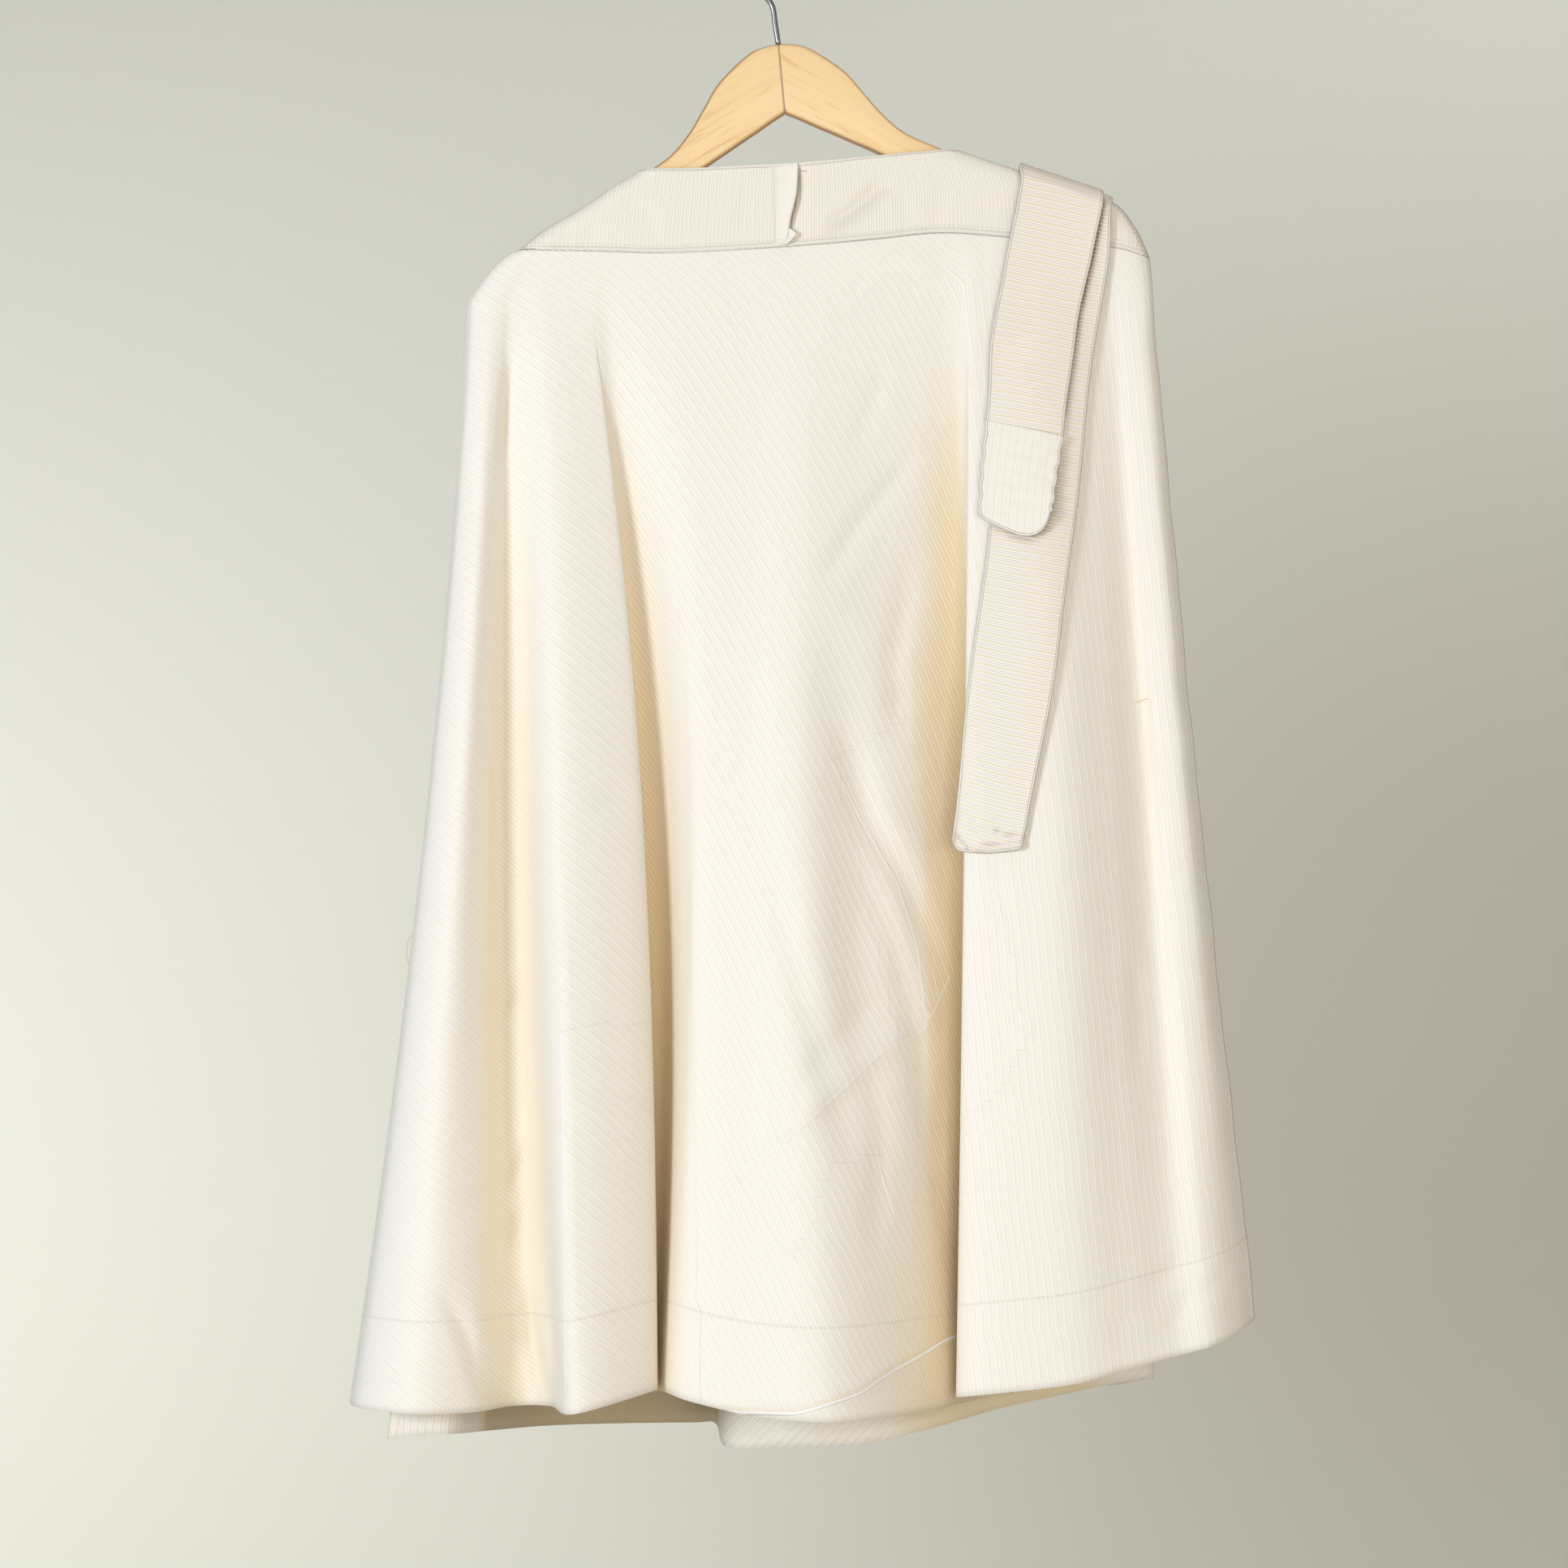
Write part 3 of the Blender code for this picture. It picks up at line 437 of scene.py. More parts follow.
def nearest_on(line, places):
    """For each x, z: distance to a line of x, z places, which side of it (+1 or -1), and
    the share of the line's length passed at the nearest place."""
    line = np.asarray(line, float)
    run_x, run_z = np.diff(line, axis=0).T
    long = np.hypot(run_x, run_z)
    across, up = (places[..., k, None] - line[:-1, k] for k in (0, 1))
    part = held((across * run_x + up * run_z) / long ** 2)
    gap = np.hypot(across - part * run_x, up - part * run_z)
    side = np.sign(across * run_z - up * run_x)
    share = (np.concatenate(((0,), np.cumsum(long)[:-1])) + part * long) / long.sum()
    pick = gap.argmin(axis=-1)[..., None]
    return [np.take_along_axis(value, pick, -1)[..., 0] for value in (gap, side, share)]


def signed_gap(grid, *lines):
    """Distance from each point to the nearest of some x, z lines, above zero on one side of
    it and below zero on the other; past a line's ends it is FAR."""
    gaps = []
    for line in lines:
        gap, side, share = nearest_on(line, grid[..., ::2])
        gaps.append(np.where((share <= 0.0) | (share >= 1.0), FAR, side * gap))
    nearest = np.abs(gaps).argmin(axis=0)[None]
    return np.take_along_axis(np.array(gaps), nearest, 0)[0]


def pressed(grid, creases, per_fold):
    """Moves a panel's points along y for every crease: depth x exp(-(q^2)) x (1 + lean x q),
    with q the signed distance to the crease's line over its width, times a taper that is 1
    at the middle of the line and 0 at its ends, between the crease's two folds."""
    shaped = grid.copy()
    for first, last, depth, width, lean, *places in creases:
        part = slice(first * per_fold, last * per_fold + 1)
        gap, side, share = nearest_on(places, grid[:, part, ::2])
        q = side * gap / width
        taper = 1 - np.abs(2 * share - 1) ** 2.5
        shaped[:, part, 1] += depth * taper * bell(q, 1) * (1 + lean * q)
    return shaped


def refined(grid, rows, columns=41):
    """A finer grid through the points of a coarse one: Catmull-Rom down it, then across it."""
    down = through(grid, np.linspace(0, 1, rows))
    across = through(np.swapaxes(down, 0, 1), np.linspace(0, 1, columns))
    return np.swapaxes(across, 0, 1)


def blended(table, row, column):
    """Values of a table at broken row and column numbers, straight between its entries, and
    their change down and across."""
    r = np.minimum(row.astype(int), table.shape[0] - 2)
    c = np.minimum(column.astype(int), table.shape[1] - 2)
    spare = (...,) + (None,) * (table.ndim - 2)
    down, across = (row - r)[spare], (column - c)[spare]
    a, b, d, e = table[r, c], table[r, c + 1], table[r + 1, c], table[r + 1, c + 1]
    value = (a * (1 - across) + b * across) * (1 - down) + (d * (1 - across) + e * across) * down
    return (value, (d - a) * (1 - across) + (e - b) * across,
            (b - a) * (1 - down) + (e - d) * down)


def with_depth(flat, depth):
    """x, y, z places from x, z places and their depth."""
    return np.stack((flat[..., 0], depth, flat[..., 1]), -1)


# --- meshes ---
def show(name, points, faces, material, slot="cloth", node=None, uv=None, values=None):
    """Puts a smooth mesh into the scene, on the model's one body, from points in millimetres
    and arrays of faces. uv and each of the named values hold one row for each point."""
    mesh = bpy.data.meshes.new(name)
    mesh.from_pydata((points * MM).tolist(), [], [face for part in faces for face in part.tolist()])
    mesh.shade_smooth()
    if uv is not None:
        layer = mesh.uv_layers.new(name="cut")
        layer.data.foreach_set("uv", uv.astype(np.float32)[faces[0].ravel()].ravel())
    for title, value in (values or {}).items():
        layer = mesh.attributes.new(title, "FLOAT", "POINT")
        layer.data.foreach_set("value", value.astype(np.float32).ravel())
    piece = bpy.data.objects.new(name, mesh)
    bpy.context.scene.collection.objects.link(piece)
    mesh.materials.append(material)
    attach(piece, "root")
    if node:
        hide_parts(node)
    return piece


def cloth_piece(name, grid, uv, thickness, material, node, values, flipped=False):
    """A cloth wall about a grid, with its thickness from Solidify. Its outer side
    is to the front (-y) when columns run to the right, unless flipped."""
    rows, columns = grid.shape[:2]
    index = np.arange(rows * columns).reshape(rows, columns)
    corners = (index[:-1, :-1], index[1:, :-1], index[1:, 1:], index[:-1, 1:])
    faces = np.stack(corners, -1).reshape(-1, 4)[:, ::-1 if flipped else 1]
    piece = show(name, grid.reshape(-1, 3), (faces,), material, "cloth", node,
                 uv.reshape(-1, 2), values)
    wall = piece.modifiers.new("wall", "SOLIDIFY")
    wall.thickness = thickness * MM
    wall.offset = 0.0
    wall.use_quality_normals = True
    return piece


def ringed(rings, tips):
    """Points and faces of a row of closed rings; each end closes on a point of its own."""
    rows, columns = rings.shape[:2]
    index = np.arange(rows * columns).reshape(rows, columns)
    beside = np.roll(index, -1, axis=1)
    walls = np.stack((index[:-1], beside[:-1], beside[1:], index[1:]), -1).reshape(-1, 4)
    tip = np.full(columns, index.size)
    caps = np.concatenate((np.stack((tip, beside[0], index[0]), -1),
                           np.stack((tip + 1, index[-1], beside[-1]), -1)))
    return np.concatenate((rings.reshape(-1, 3), tips)), (walls, caps)


def tube(route, radius, sides):
    """A round tube along x, y, z points: a ring stands square to the way at each point, with
    its first direction kept near y."""
    way = unit(np.gradient(route, axis=0))
    first = unit(np.cross(way, (0.0, 1.0, 0.0)))
    second = np.cross(way, first)
    turn = np.linspace(0, 2 * math.pi, sides, endpoint=False)[None, :, None]
    round_it = np.cos(turn) * first[:, None] + np.sin(turn) * second[:, None]
    tips = route[[0, -1]] + way[[0, -1]] * ((-0.6,), (0.6,)) * radius
    return ringed(route[:, None] + radius * round_it, tips)


# --- panels ---
def panel_rows(count):
    """Shares of the length from waist to hem, closer together near the waist."""
    return np.linspace(0, 1, count)[:, None] ** ROW_POWER


def pushed_out(down):
    """How far the arm's end pushes the panel's side out: a fast rise, then a slow fall."""
    return SHOULDER_PUSH * held(down / SHOULDER_RISE) ** SHOULDER_START * (1 - down) ** SHOULDER_FADE


def panel_grid(folds, band_edge, per_fold, rows, to_seam, pushed):
    """Points of a panel. Each column is a line from the waist seam to the hem; its depth
    grows with the length past the fold's onset to the power of its growth. The hem crosses
    a side seam straight on. A fold that bows moves by a half sine down its length. Where
    pushed, x moves out by the push of the arm's end, less and less inward, and a free edge
    bows in by a half sine."""
    waist_x, hem, bow = np.split(np.array([fold[1:] for fold in folds], float), (1, 4), axis=1)
    before, after = (near * (1, -1, 1) + (0, 2 * seam[1], 0)
                     for near, seam in ((hem[1], hem[0]), (hem[-2], hem[-1])))
    across = np.linspace(0, 1, (len(folds) - 1) * per_fold + 1)
    foot = through(hem, across, before, after if to_seam else None)
    x = through(waist_x, across)[:, 0]
    edge_x, edge_y, edge_z = band_edge[np.argsort(band_edge[:, 0])].T
    below = SEAM_BELOW * np.hypot(1, np.interp(x, edge_x, np.gradient(edge_z, edge_x)))
    top = np.column_stack((x, np.interp(x, edge_x, edge_y), np.interp(x, edge_x, edge_z) - below))
    down = panel_rows(rows)
    grid = top * (1 - down[..., None]) + foot * down[..., None]
    grown = held((down - FOLD_ONSET) / (1 - FOLD_ONSET)) ** FOLD_GROWTH
    grid[..., 1] = top[:, 1] * (1 - grown) + foot[:, 1] * grown
    grid[..., :2] += through(bow, across) * np.sin(math.pi * down)[..., None]
    if pushed:
        inward = grid[..., 0] - grid[:, :1, 0]
        grid[..., 0] -= pushed_out(down) * np.exp(-inward / SHOULDER_REACH)
    if pushed and not to_seam:
        outward = grid[:, -1:, 0] - grid[..., 0]
        grid[..., 0] -= FREE_BOW * np.sin(math.pi * down) * np.exp(-outward / FREE_REACH)
    return grid


def wavy_edge(grid, amount):
    """Makes the last column and those near it uneven, as a narrow hem pulls them: three sine
    waves of uneven length along the edge, dying away within about 12 mm."""
    z = grid[..., 2].copy()
    wave = np.sin(z / 17.0 + 1.1) + 0.8 * np.sin(z / 9.3) + 0.6 * np.sin(z / 31.0 + 2.0)
    inward = grid[:, -1:, 0] - grid[..., 0]
    grid[..., 0] += amount * wave * bell(inward, 12.0)
    grid[..., 1] += 1.6 * amount * np.sin(z / 11.0 + 0.7) * bell(inward, 9.0)
    return grid


def cut_uv(grid, cut, hidden, per_fold, pushed):
    """Each point's place on the half ring: its radius grows from waist to hem, and its angle
    is the start's plus the way along its row over the radius. What a row is short of its arc
    lies in the hidden folds, given as the first and last fold of each. Where the side is
    pushed out, the rows start that much earlier on the ring, so the cloth hangs straight."""
    down = panel_rows(len(grid))
    radius = CUT_WAIST + (CUT_HEM - CUT_WAIST) * down
    step = np.linalg.norm(np.diff(grid, axis=1), axis=2)
    weight = np.zeros(step.shape[1])
    for first, last in hidden:
        weight[first * per_fold:last * per_fold] = 1.0
    short = radius * math.radians(abs(cut[1] - cut[0])) - step.sum(axis=1, keepdims=True)
    way = np.cumsum(np.insert(step + short * weight / weight.sum(), 0, 0.0, axis=1), axis=1)
    if pushed:
        way = way - np.maximum.accumulate(pushed_out(down))
    angle = math.radians(cut[0]) + math.copysign(1, cut[1] - cut[0]) * way / radius
    return np.stack((radius * np.sin(angle), radius * np.cos(angle)), -1) * MM


def painted_shade(grid):
    """How much a place is closed in by the folds beside it, from 0 to 1, painted in as shade:
    half the sine of the steepest way forward to a place in the same row within the reach, left plus
    right."""
    left, right = np.zeros((2,) + grid.shape[:2])
    for step in range(2, int(SHADE_REACH * grid.shape[1])):
        run = np.maximum(grid[:, step:, 0] - grid[:, :-step, 0], 0.0)
        back = grid[:, step:, 1] - grid[:, :-step, 1]
        left[:, step:] = np.maximum(left[:, step:], back / np.hypot(run, back + 0.01))
        right[:, :-step] = np.maximum(right[:, :-step], -back / np.hypot(run, 0.01 - back))
    return 0.5 * (left + right)


def front_shade(grid, per_fold):
    """Darkness in the front's folds. Along single folds a bell across them is added, times
    the amount there. Beside the tuck lies an even shade: full from 3 mm right of its crisp
    left border to the tuck's edge, and gone 60 mm past the border's ends."""
    share = np.linspace(0, 1, grid.shape[1])
    shade = painted_shade(grid) * np.interp(share, SHADE_PLACES, SHADE_SHARES)
    fold = np.arange(grid.shape[1]) / per_fold
    for centre, width, amounts in SHADED_FOLDS:
        amount = np.interp(panel_rows(len(grid)), np.linspace(0, 1, len(amounts)), amounts)
        shade += amount * np.exp(-np.abs((fold - centre) / width) ** 3)
    x, z = np.array(TUCK_BORDER).T
    inside = held((grid[..., 0] - np.interp(grid[..., 2], z, x)) / 3)
    past = np.maximum(z[0] - grid[..., 2], grid[..., 2] - z[-1])
    within = (fold >= TUCK_SHADED[0]) & (fold < TUCK_SHADED[1])
    return shade + TUCK_DARK * inside * held(1 - past / 60) * within


def shade_behind_front(grid, hem):
    """How much painted shade the inner front gets where it is shut in behind the outer front: a
    smooth step of the depth of its deep fold, a bell of the distance below the outer hem as a
    painted contact shadow, and along the lower right the shares in UNDER_SHADE."""
    part = held((grid[..., 1] + 4.0) / 30.0) * (grid[..., 0] < 0)
    below = height_at(hem, grid[..., 0]) - grid[..., 2]
    under_hem = 0.95 * bell(np.maximum(below - 3.0, 0), 5.0) * (below > -20)
    side = height_at(UNDER_SHADE, grid[..., 0]) * held((below + 30) / 30)
    return np.maximum(1.45 * part ** 2 * (3 - 2 * part), np.maximum(under_hem, side))


# --- waistband ---
def smooth(line):
    """An x, z line drawn again with 41 points on the curve through its own."""
    return through(line, np.linspace(0, 1, 41))


def spread_along(line, share):
    """Places on an x, z line, evenly spread in x."""
    x = line[0][0] + (line[-1][0] - line[0][0]) * share
    return np.stack((x, height_at(line, x)), -1)


def band_patch(along, down, top, seam, left, right):
    """Coons patch between four x, z lines; along and down are arrays from 0 to 1."""
    a, d = along[..., None], down[..., None]
    corners = ((1 - d) * ((1 - a) * top[0] + a * top[-1])
               + d * ((1 - a) * seam[0] + a * seam[-1]))
    return ((1 - d) * spread_along(top, along) + d * spread_along(seam, along)
            + (1 - a) * through(left, down) + a * through(right, down) - corners)


def rounded_from(line, flat, radius):
    """0 on an x, z line, rising along a quarter circle to 1 at the radius from it."""
    away = held(nearest_on(line, flat)[0] / radius)
    return np.sqrt(1 - (1 - away) ** 2)


def slit_at(down):
    """The slit's share of the band's length: its x between the x of the band's two sides."""
    left, right = (through(line, down)[..., 0] for line in (BAND_LEFT, BAND_RIGHT))
    return (through(SLIT_LINE, down) - left) / (right - left)


def outer_band(slit_edge):
    """One of the outer band's two lengths. Its depth rounds over at both sides along quarter
    circles. Its lower edge laps over the panel, its top edge has a fine rim, and at the slit
    the left length rises and the right length sinks, by a half sine down the slit that fades
    within a few columns."""
    down, across = shares(BAND_ROWS, BAND_COLUMNS)
    slit = slit_at(down)
    along = (slit + 0.0012) * across if slit_edge == "right" else (
        slit - 0.0006 + (1 - slit + 0.0006) * across)
    flat = band_patch(along, down, smooth(BAND_TOP), smooth(WAIST_SEAM), BAND_LEFT, BAND_RIGHT)
    depth = (-SIDE_GAP
             - (FRONT_DEPTH - SIDE_GAP) * rounded_from(smooth(BAND_LEFT), flat, FRONT_DEPTH)
             + (FRONT_DEPTH - BAND_TURN) * (1 - rounded_from(smooth(BAND_RIGHT), flat, FRONT_DEPTH)))
    grid = pressed(with_depth(flat, depth), BAND_DENTS, BAND_COLUMNS - 1)
    lap = bell(1 - down, 0.03)
    grid[..., 2] -= BAND_LAP * lap
    grid[..., 1] -= 0.5 * lap + 0.35 * bell(down, 0.035)
    gape = np.sin(math.pi * down) ** 0.7
    if slit_edge == "right":
        grid[..., 1] -= 1.7 * gape * bell(1 - across, 0.035)
    else:
        grid[..., 1] += 2.6 * gape * bell(across, 0.035)
    return grid


def inner_band(columns, side, deep, starts, drops, left=None):
    """A band inside the outer one, from a left line to where the back turns over the right
    arm, which is the outer side line moved in across itself. Its top edge and its seam hang
    lower than the outer ones by the drops, and its depth rounds over at its sides."""
    right = np.array(BAND_RIGHT, float)
    run = unit(np.gradient(right, axis=0))
    right += BACK_INSIDE * np.column_stack((run[:, 1], -run[:, 0]))
    right[-1] = BACK_RIGHT_SEAM
    lines = []
    for outer, start, finish, drop in zip((BAND_TOP, WAIST_SEAM), starts, right[[0, -1]], drops):
        x = np.linspace(start, finish[0], len(drop))
        lines.append(np.column_stack((x, height_at(smooth(outer), x) - drop)))
        lines[-1][-1] = finish
    top, seam = lines
    down, across = shares(16, columns)
    flat = band_patch(across, down, top, seam, np.stack((top[0], seam[0])) if left is None else left,
                      right)
    rounded = rounded_from(right, flat, deep)
    if left is not None:
        rounded = rounded * rounded_from(left, flat, deep)
    return with_depth(flat, side * (SIDE_GAP + (deep - SIDE_GAP) * rounded))


def band_uv(grid):
    """The band's stripes stand upright on it: u is nine parts x and one part the way along
    the band's middle, so they lean a little where the band turns down at its ends."""
    middle = grid.mean(axis=0)
    u = 0.1 * (way_along(middle) + middle[0, 0]) + 0.9 * grid[..., 0]
    return np.stack((u, grid[..., 2]), -1) * MM


def band_rims(grid, slit_edge):
    """Each point's distance from the band's folded edges over the width of its rim: 2 mm at
    the top, 2.6 mm above the seam, and as far as the facing beside the slit on the left."""
    way = way_along(grid)
    rims = np.minimum(way / 2.0, (way[-1:] - way) / 2.6)
    if slit_edge == "right":
        edge = grid[:, -1:, 0]
        rims = np.minimum(rims, (edge - grid[..., 0]) / (edge - SLIT_FACING))
    return rims


def slit_shade(grid, slit_edge):
    """Darkness beside the slit on the right length: 0.85 for 1.2 mm from its edge, under the
    lip, and a weak bell 3.6 mm wide, both times a power of a half sine down the slit. A soft
    shade lies in the dent that runs up from the slit."""
    if slit_edge != "left":
        return np.zeros(grid.shape[:2])
    down = shares(*grid.shape[:2])[0]
    away = grid[..., 0] - grid[:, :1, 0] - 0.4
    gape = held(np.sin(math.pi * held((down - 0.12) / 0.86))) ** 0.6
    near = 0.85 * bell(np.maximum(away - 0.8, 0), 0.6)
    gap = signed_gap(grid, DENT_SHADE)
    soft = 0.20 * bell(gap, np.where(gap > 0, 4.5, 2.5)) * held(1.6 - np.abs(grid[..., 0] - 58) / 16)
    return gape * (near + 0.24 * bell(away, 3.6)) + soft


# --- ties ---
def front_depth(front):
    """A function that gives the outer front's depth at x, z right of the tuck: each row is
    read at even steps of x, and a place between two rows takes its share of both."""
    part = front[:, TUCK_LIP:]
    steps = np.linspace(part[..., 0].min(), part[..., 0].max(), 240)
    rows_z = part[..., 2].mean(axis=1)
    table = np.array([np.interp(steps, row[:, 0], row[:, 1]) for row in part])

    def depth(x, z):
        row = np.interp(-z, -rows_z, np.arange(len(rows_z)))
        return blended(table, row, np.interp(x, steps, np.arange(len(steps))))[0]
    return depth


def tie_grid(table, over, depth, clear, steps, level=0.0):
    """A strip laid on the front from its centre line; over adds the half turn over the arm,
    a half circle in y with its crest above the band's edge. Toward a loose end the rows grow
    level, with the fourth power of the way."""
    share = np.linspace(0, 1, steps)[:, None]
    cross = np.linspace(-1, 1, 9)[None]
    centre_x, centre_z, half = np.moveaxis(through(table, share), -1, 0)
    x = centre_x + half * cross
    z = centre_z - TIE_SLANT * (1 - level * share ** 4) * half * cross
    strip = np.stack((x, depth(x, z) - clear - 1.2, z), -1)
    if not over:
        return strip
    (behind_x, behind_half), (top_x, top_half) = over
    outline = BAND_TOP[-2:] + BAND_RIGHT
    angle = np.radians(np.arange(0, 181, 30))[:, None]
    reach = FRONT_DEPTH + clear + 1.5
    x = top_x + 1 - 2 * angle / math.pi + top_half * cross
    z = height_at(outline, x) + clear + 2.1 - reach * (1 - np.sin(angle)) * TIE_TURN
    turn = np.stack((x, reach * np.cos(angle) + 0 * cross, z), -1)
    z = height_at(outline, top_x + top_half * cross) - TIE_BEHIND
    start = np.stack((behind_x + behind_half * cross, reach + 0 * cross, z), -1)
    return np.concatenate((start, turn, strip))


def footed(grid, foot, lowest, power):
    """Brings a strip's last rows to the outline of its loose end: each row's height moves
    toward lowest + foot(share across), by the way down the strip to a power."""
    down, across = shares(*grid.shape[:2])
    grid[..., 2] += down ** power * (lowest + height_at(foot, 2 * across - 1) - grid[-1, :, 2])
    return grid


def tie_width(grid):
    """Each row's width between its two ends."""
    return np.linalg.norm(grid[:, -1] - grid[:, 0], axis=1)[:, None]


def tie_uv(grid, slopes=None, bend=0.0):
    """Stripes lie across a tie, or along it without slopes. u is the way down its middle,
    set back so that a stripe falls to the right by the slope at that share of the length and
    flattens by the bend; v is the way across."""
    share, across = shares(*grid.shape[:2])
    middle = grid[:, across.size // 2]
    down = way_along(middle)[:, None]
    beside = tie_width(grid) * (across - 0.5)
    if not slopes:
        return np.stack((beside, down + 0 * beside), -1) * MM
    aside = grid[..., 0] - middle[:, None, 0]
    fall = (middle[:, None, 2] - grid[..., 2] - height_at(slopes, share) * aside
            + bend * share ** 6 * aside ** 2)
    flat = middle[:, 1:2] < -FRONT_DEPTH
    eased = held((share - share[flat][0]) / 0.06)
    return np.stack((down + np.where(flat, fall, 0.0) * eased, beside), -1) * MM


def from_rim(grid, folded_end):
    """Each point's distance from the nearest folded edge of a strip, over the rim's width;
    the strip's last row may be a folded edge too."""
    beside = tie_width(grid) * (0.5 - np.abs(shares(*grid.shape[:2])[1] - 0.5))
    way = way_along(grid)
    return (np.minimum(beside, way[-1:] - way) if folded_end else beside) / RIM


def tie_relief(grid, ripple, curl=0.0):
    """A tie's edges stand up where they are folded and sewn, its face ripples softly, and its
    right edge curls forward toward the loose end."""
    down, cross = shares(*grid.shape[:2])
    cross = 2 * cross - 1
    wave = (np.sin(23 * down + 2.1 * cross) + 0.7 * np.sin(41 * down - 1.3 * cross + 1.0)
            + 0.5 * np.sin(9 * down + 3 * cross))
    rise = 0.25 * bell(1 - np.abs(cross), 0.13)
    grid[..., 1] -= np.clip(rise + ripple * wave * (1 - cross ** 2), -0.6, 3)
    grid[..., 1] -= curl * (0.35 + 0.65 * down) * held(0.5 + 0.5 * cross) ** 2
    grid[..., 0] += 0.45 * np.sin(31 * down + 0.6) * cross * (np.abs(cross) > 0.8)
    return grid


def rolled_end(grid, height):
    """The loose end's narrow hem: a roll forward over its last 3 mm with a groove above it,
    deepest between its middle and its right corner."""
    way = way_along(grid)
    left = way[-1:] - way
    cross = 2 * shares(*grid.shape[:2])[1] - 1
    grid[..., 1] -= height * bell(left - 1.4, 1.5)
    grid[..., 1] += 0.9 * height * (0.45 + 0.55 * bell(cross - 0.35, 0.4)) * bell(left - 4.6, 1.3)
    return grid


def tip_shade(grid, short, tip):
    """Darkness that the short tie leaves on the long tie below it, painted in as shade: strongest at
    the tip's right edge and foot, and as a thin line with a soft one round it along the upper part,
    each a bell of the distance. Thin lines of painted shade lie in the wrinkles at the end."""
    edge = np.concatenate((tip[8::6, -1], tip[-1, ::-4]))[:, ::2]
    gap, _, share = nearest_on(edge, grid[..., ::2])
    strength = np.interp(share, (0, 0.15, 0.5, 0.75, 1), (0.15, 0.4, 0.55, 0.5, 0.1))
    upper = short[short[:, -1, 1] < -FRONT_DEPTH][::10, -1, ::2]
    above, _, share = nearest_on(upper, grid[..., ::2])
    along = np.interp(share, (0, 0.05, 0.3, 0.6, 1), (0, 0.7, 0.85, 0.6, 0.4))
    line = along * (np.exp(-(above / 1.5) ** 4) + 0.35 * bell(above, 4.5))
    near = (grid[..., 2] > -400) & (grid[..., 1] < -FRONT_DEPTH)
    shade = near * np.maximum(strength * bell(gap, 3.4), line)
    return np.maximum(shade, 0.38 * bell(signed_gap(grid, *TIE_WRINKLE_SHADOWS), 0.9))


# --- sewing ---
def stitch_places(grid, path, wall, outward):
    """Middles, directions and outward normals of stitches on a grid surface, spaced evenly
    along a path of row and column shares and lifted off the wall."""
    rows, columns = grid.shape[:2]
    point, down, across = blended(grid, path[0] * (rows - 1), path[1] * (columns - 1))
    normal = unit(np.cross(down, across)) * outward
    passed = way_along(point)
    at = np.arange(0.5 * STITCH, passed[-1], STITCH)
    centre, outer, ahead, behind = (
        np.column_stack([np.interp(place, passed, value[:, k]) for k in range(3)])
        for value, place in ((point, at), (normal, at), (point, at + 0.1), (point, at - 0.1)))
    return centre + outer * (wall + 0.03), unit(ahead - behind), outer


def inset_path(grid, inset):
    """Shares of rows and columns for a line down a grid that keeps an inset, measured along
    each row, from its last column."""
    way = way_along(grid[:, ::-1], 1)
    from_end = [np.interp(inset, row, np.arange(len(row))) for row in way]
    return np.linspace(0, 1, len(grid)), 1 - np.array(from_end) / (grid.shape[1] - 1)


def level_path(down, first=0.0, last=1.0):
    """Shares for a line along one row of a grid, between two shares of its columns."""
    return np.full(1200, down), np.linspace(first, last, 1200)


def upright_path(across, first=0.0):
    """Shares for a line along one column of a grid, from a share of its rows to its end."""
    return np.linspace(first, 1, 900), np.full(900, across)


def show_beads(name, colour, centre, along, outer, length=STITCH_LONG, width=STITCH_WIDE):
    """Long beads of thread: six points each, two along, two across and two up."""
    side = np.cross(along, outer)
    points = np.stack((centre - along * length / 2, centre + side * width / 2,
                       centre + outer * width / 3, centre - side * width / 2,
                       centre - outer * width / 3, centre + along * length / 2), 1)
    ring = np.array((1, 2, 3, 4))
    following = np.roll(ring, -1)
    ends = np.concatenate((np.column_stack((0 * ring, following, ring)),
                           np.column_stack((0 * ring + 5, ring, following))))
    faces = ends + 6 * np.arange(len(centre))[:, None, None]
    show(name + "_sewing", points.reshape(-1, 3), (faces.reshape(-1, 3),),
         sewing_thread(name + "_thread", colour))


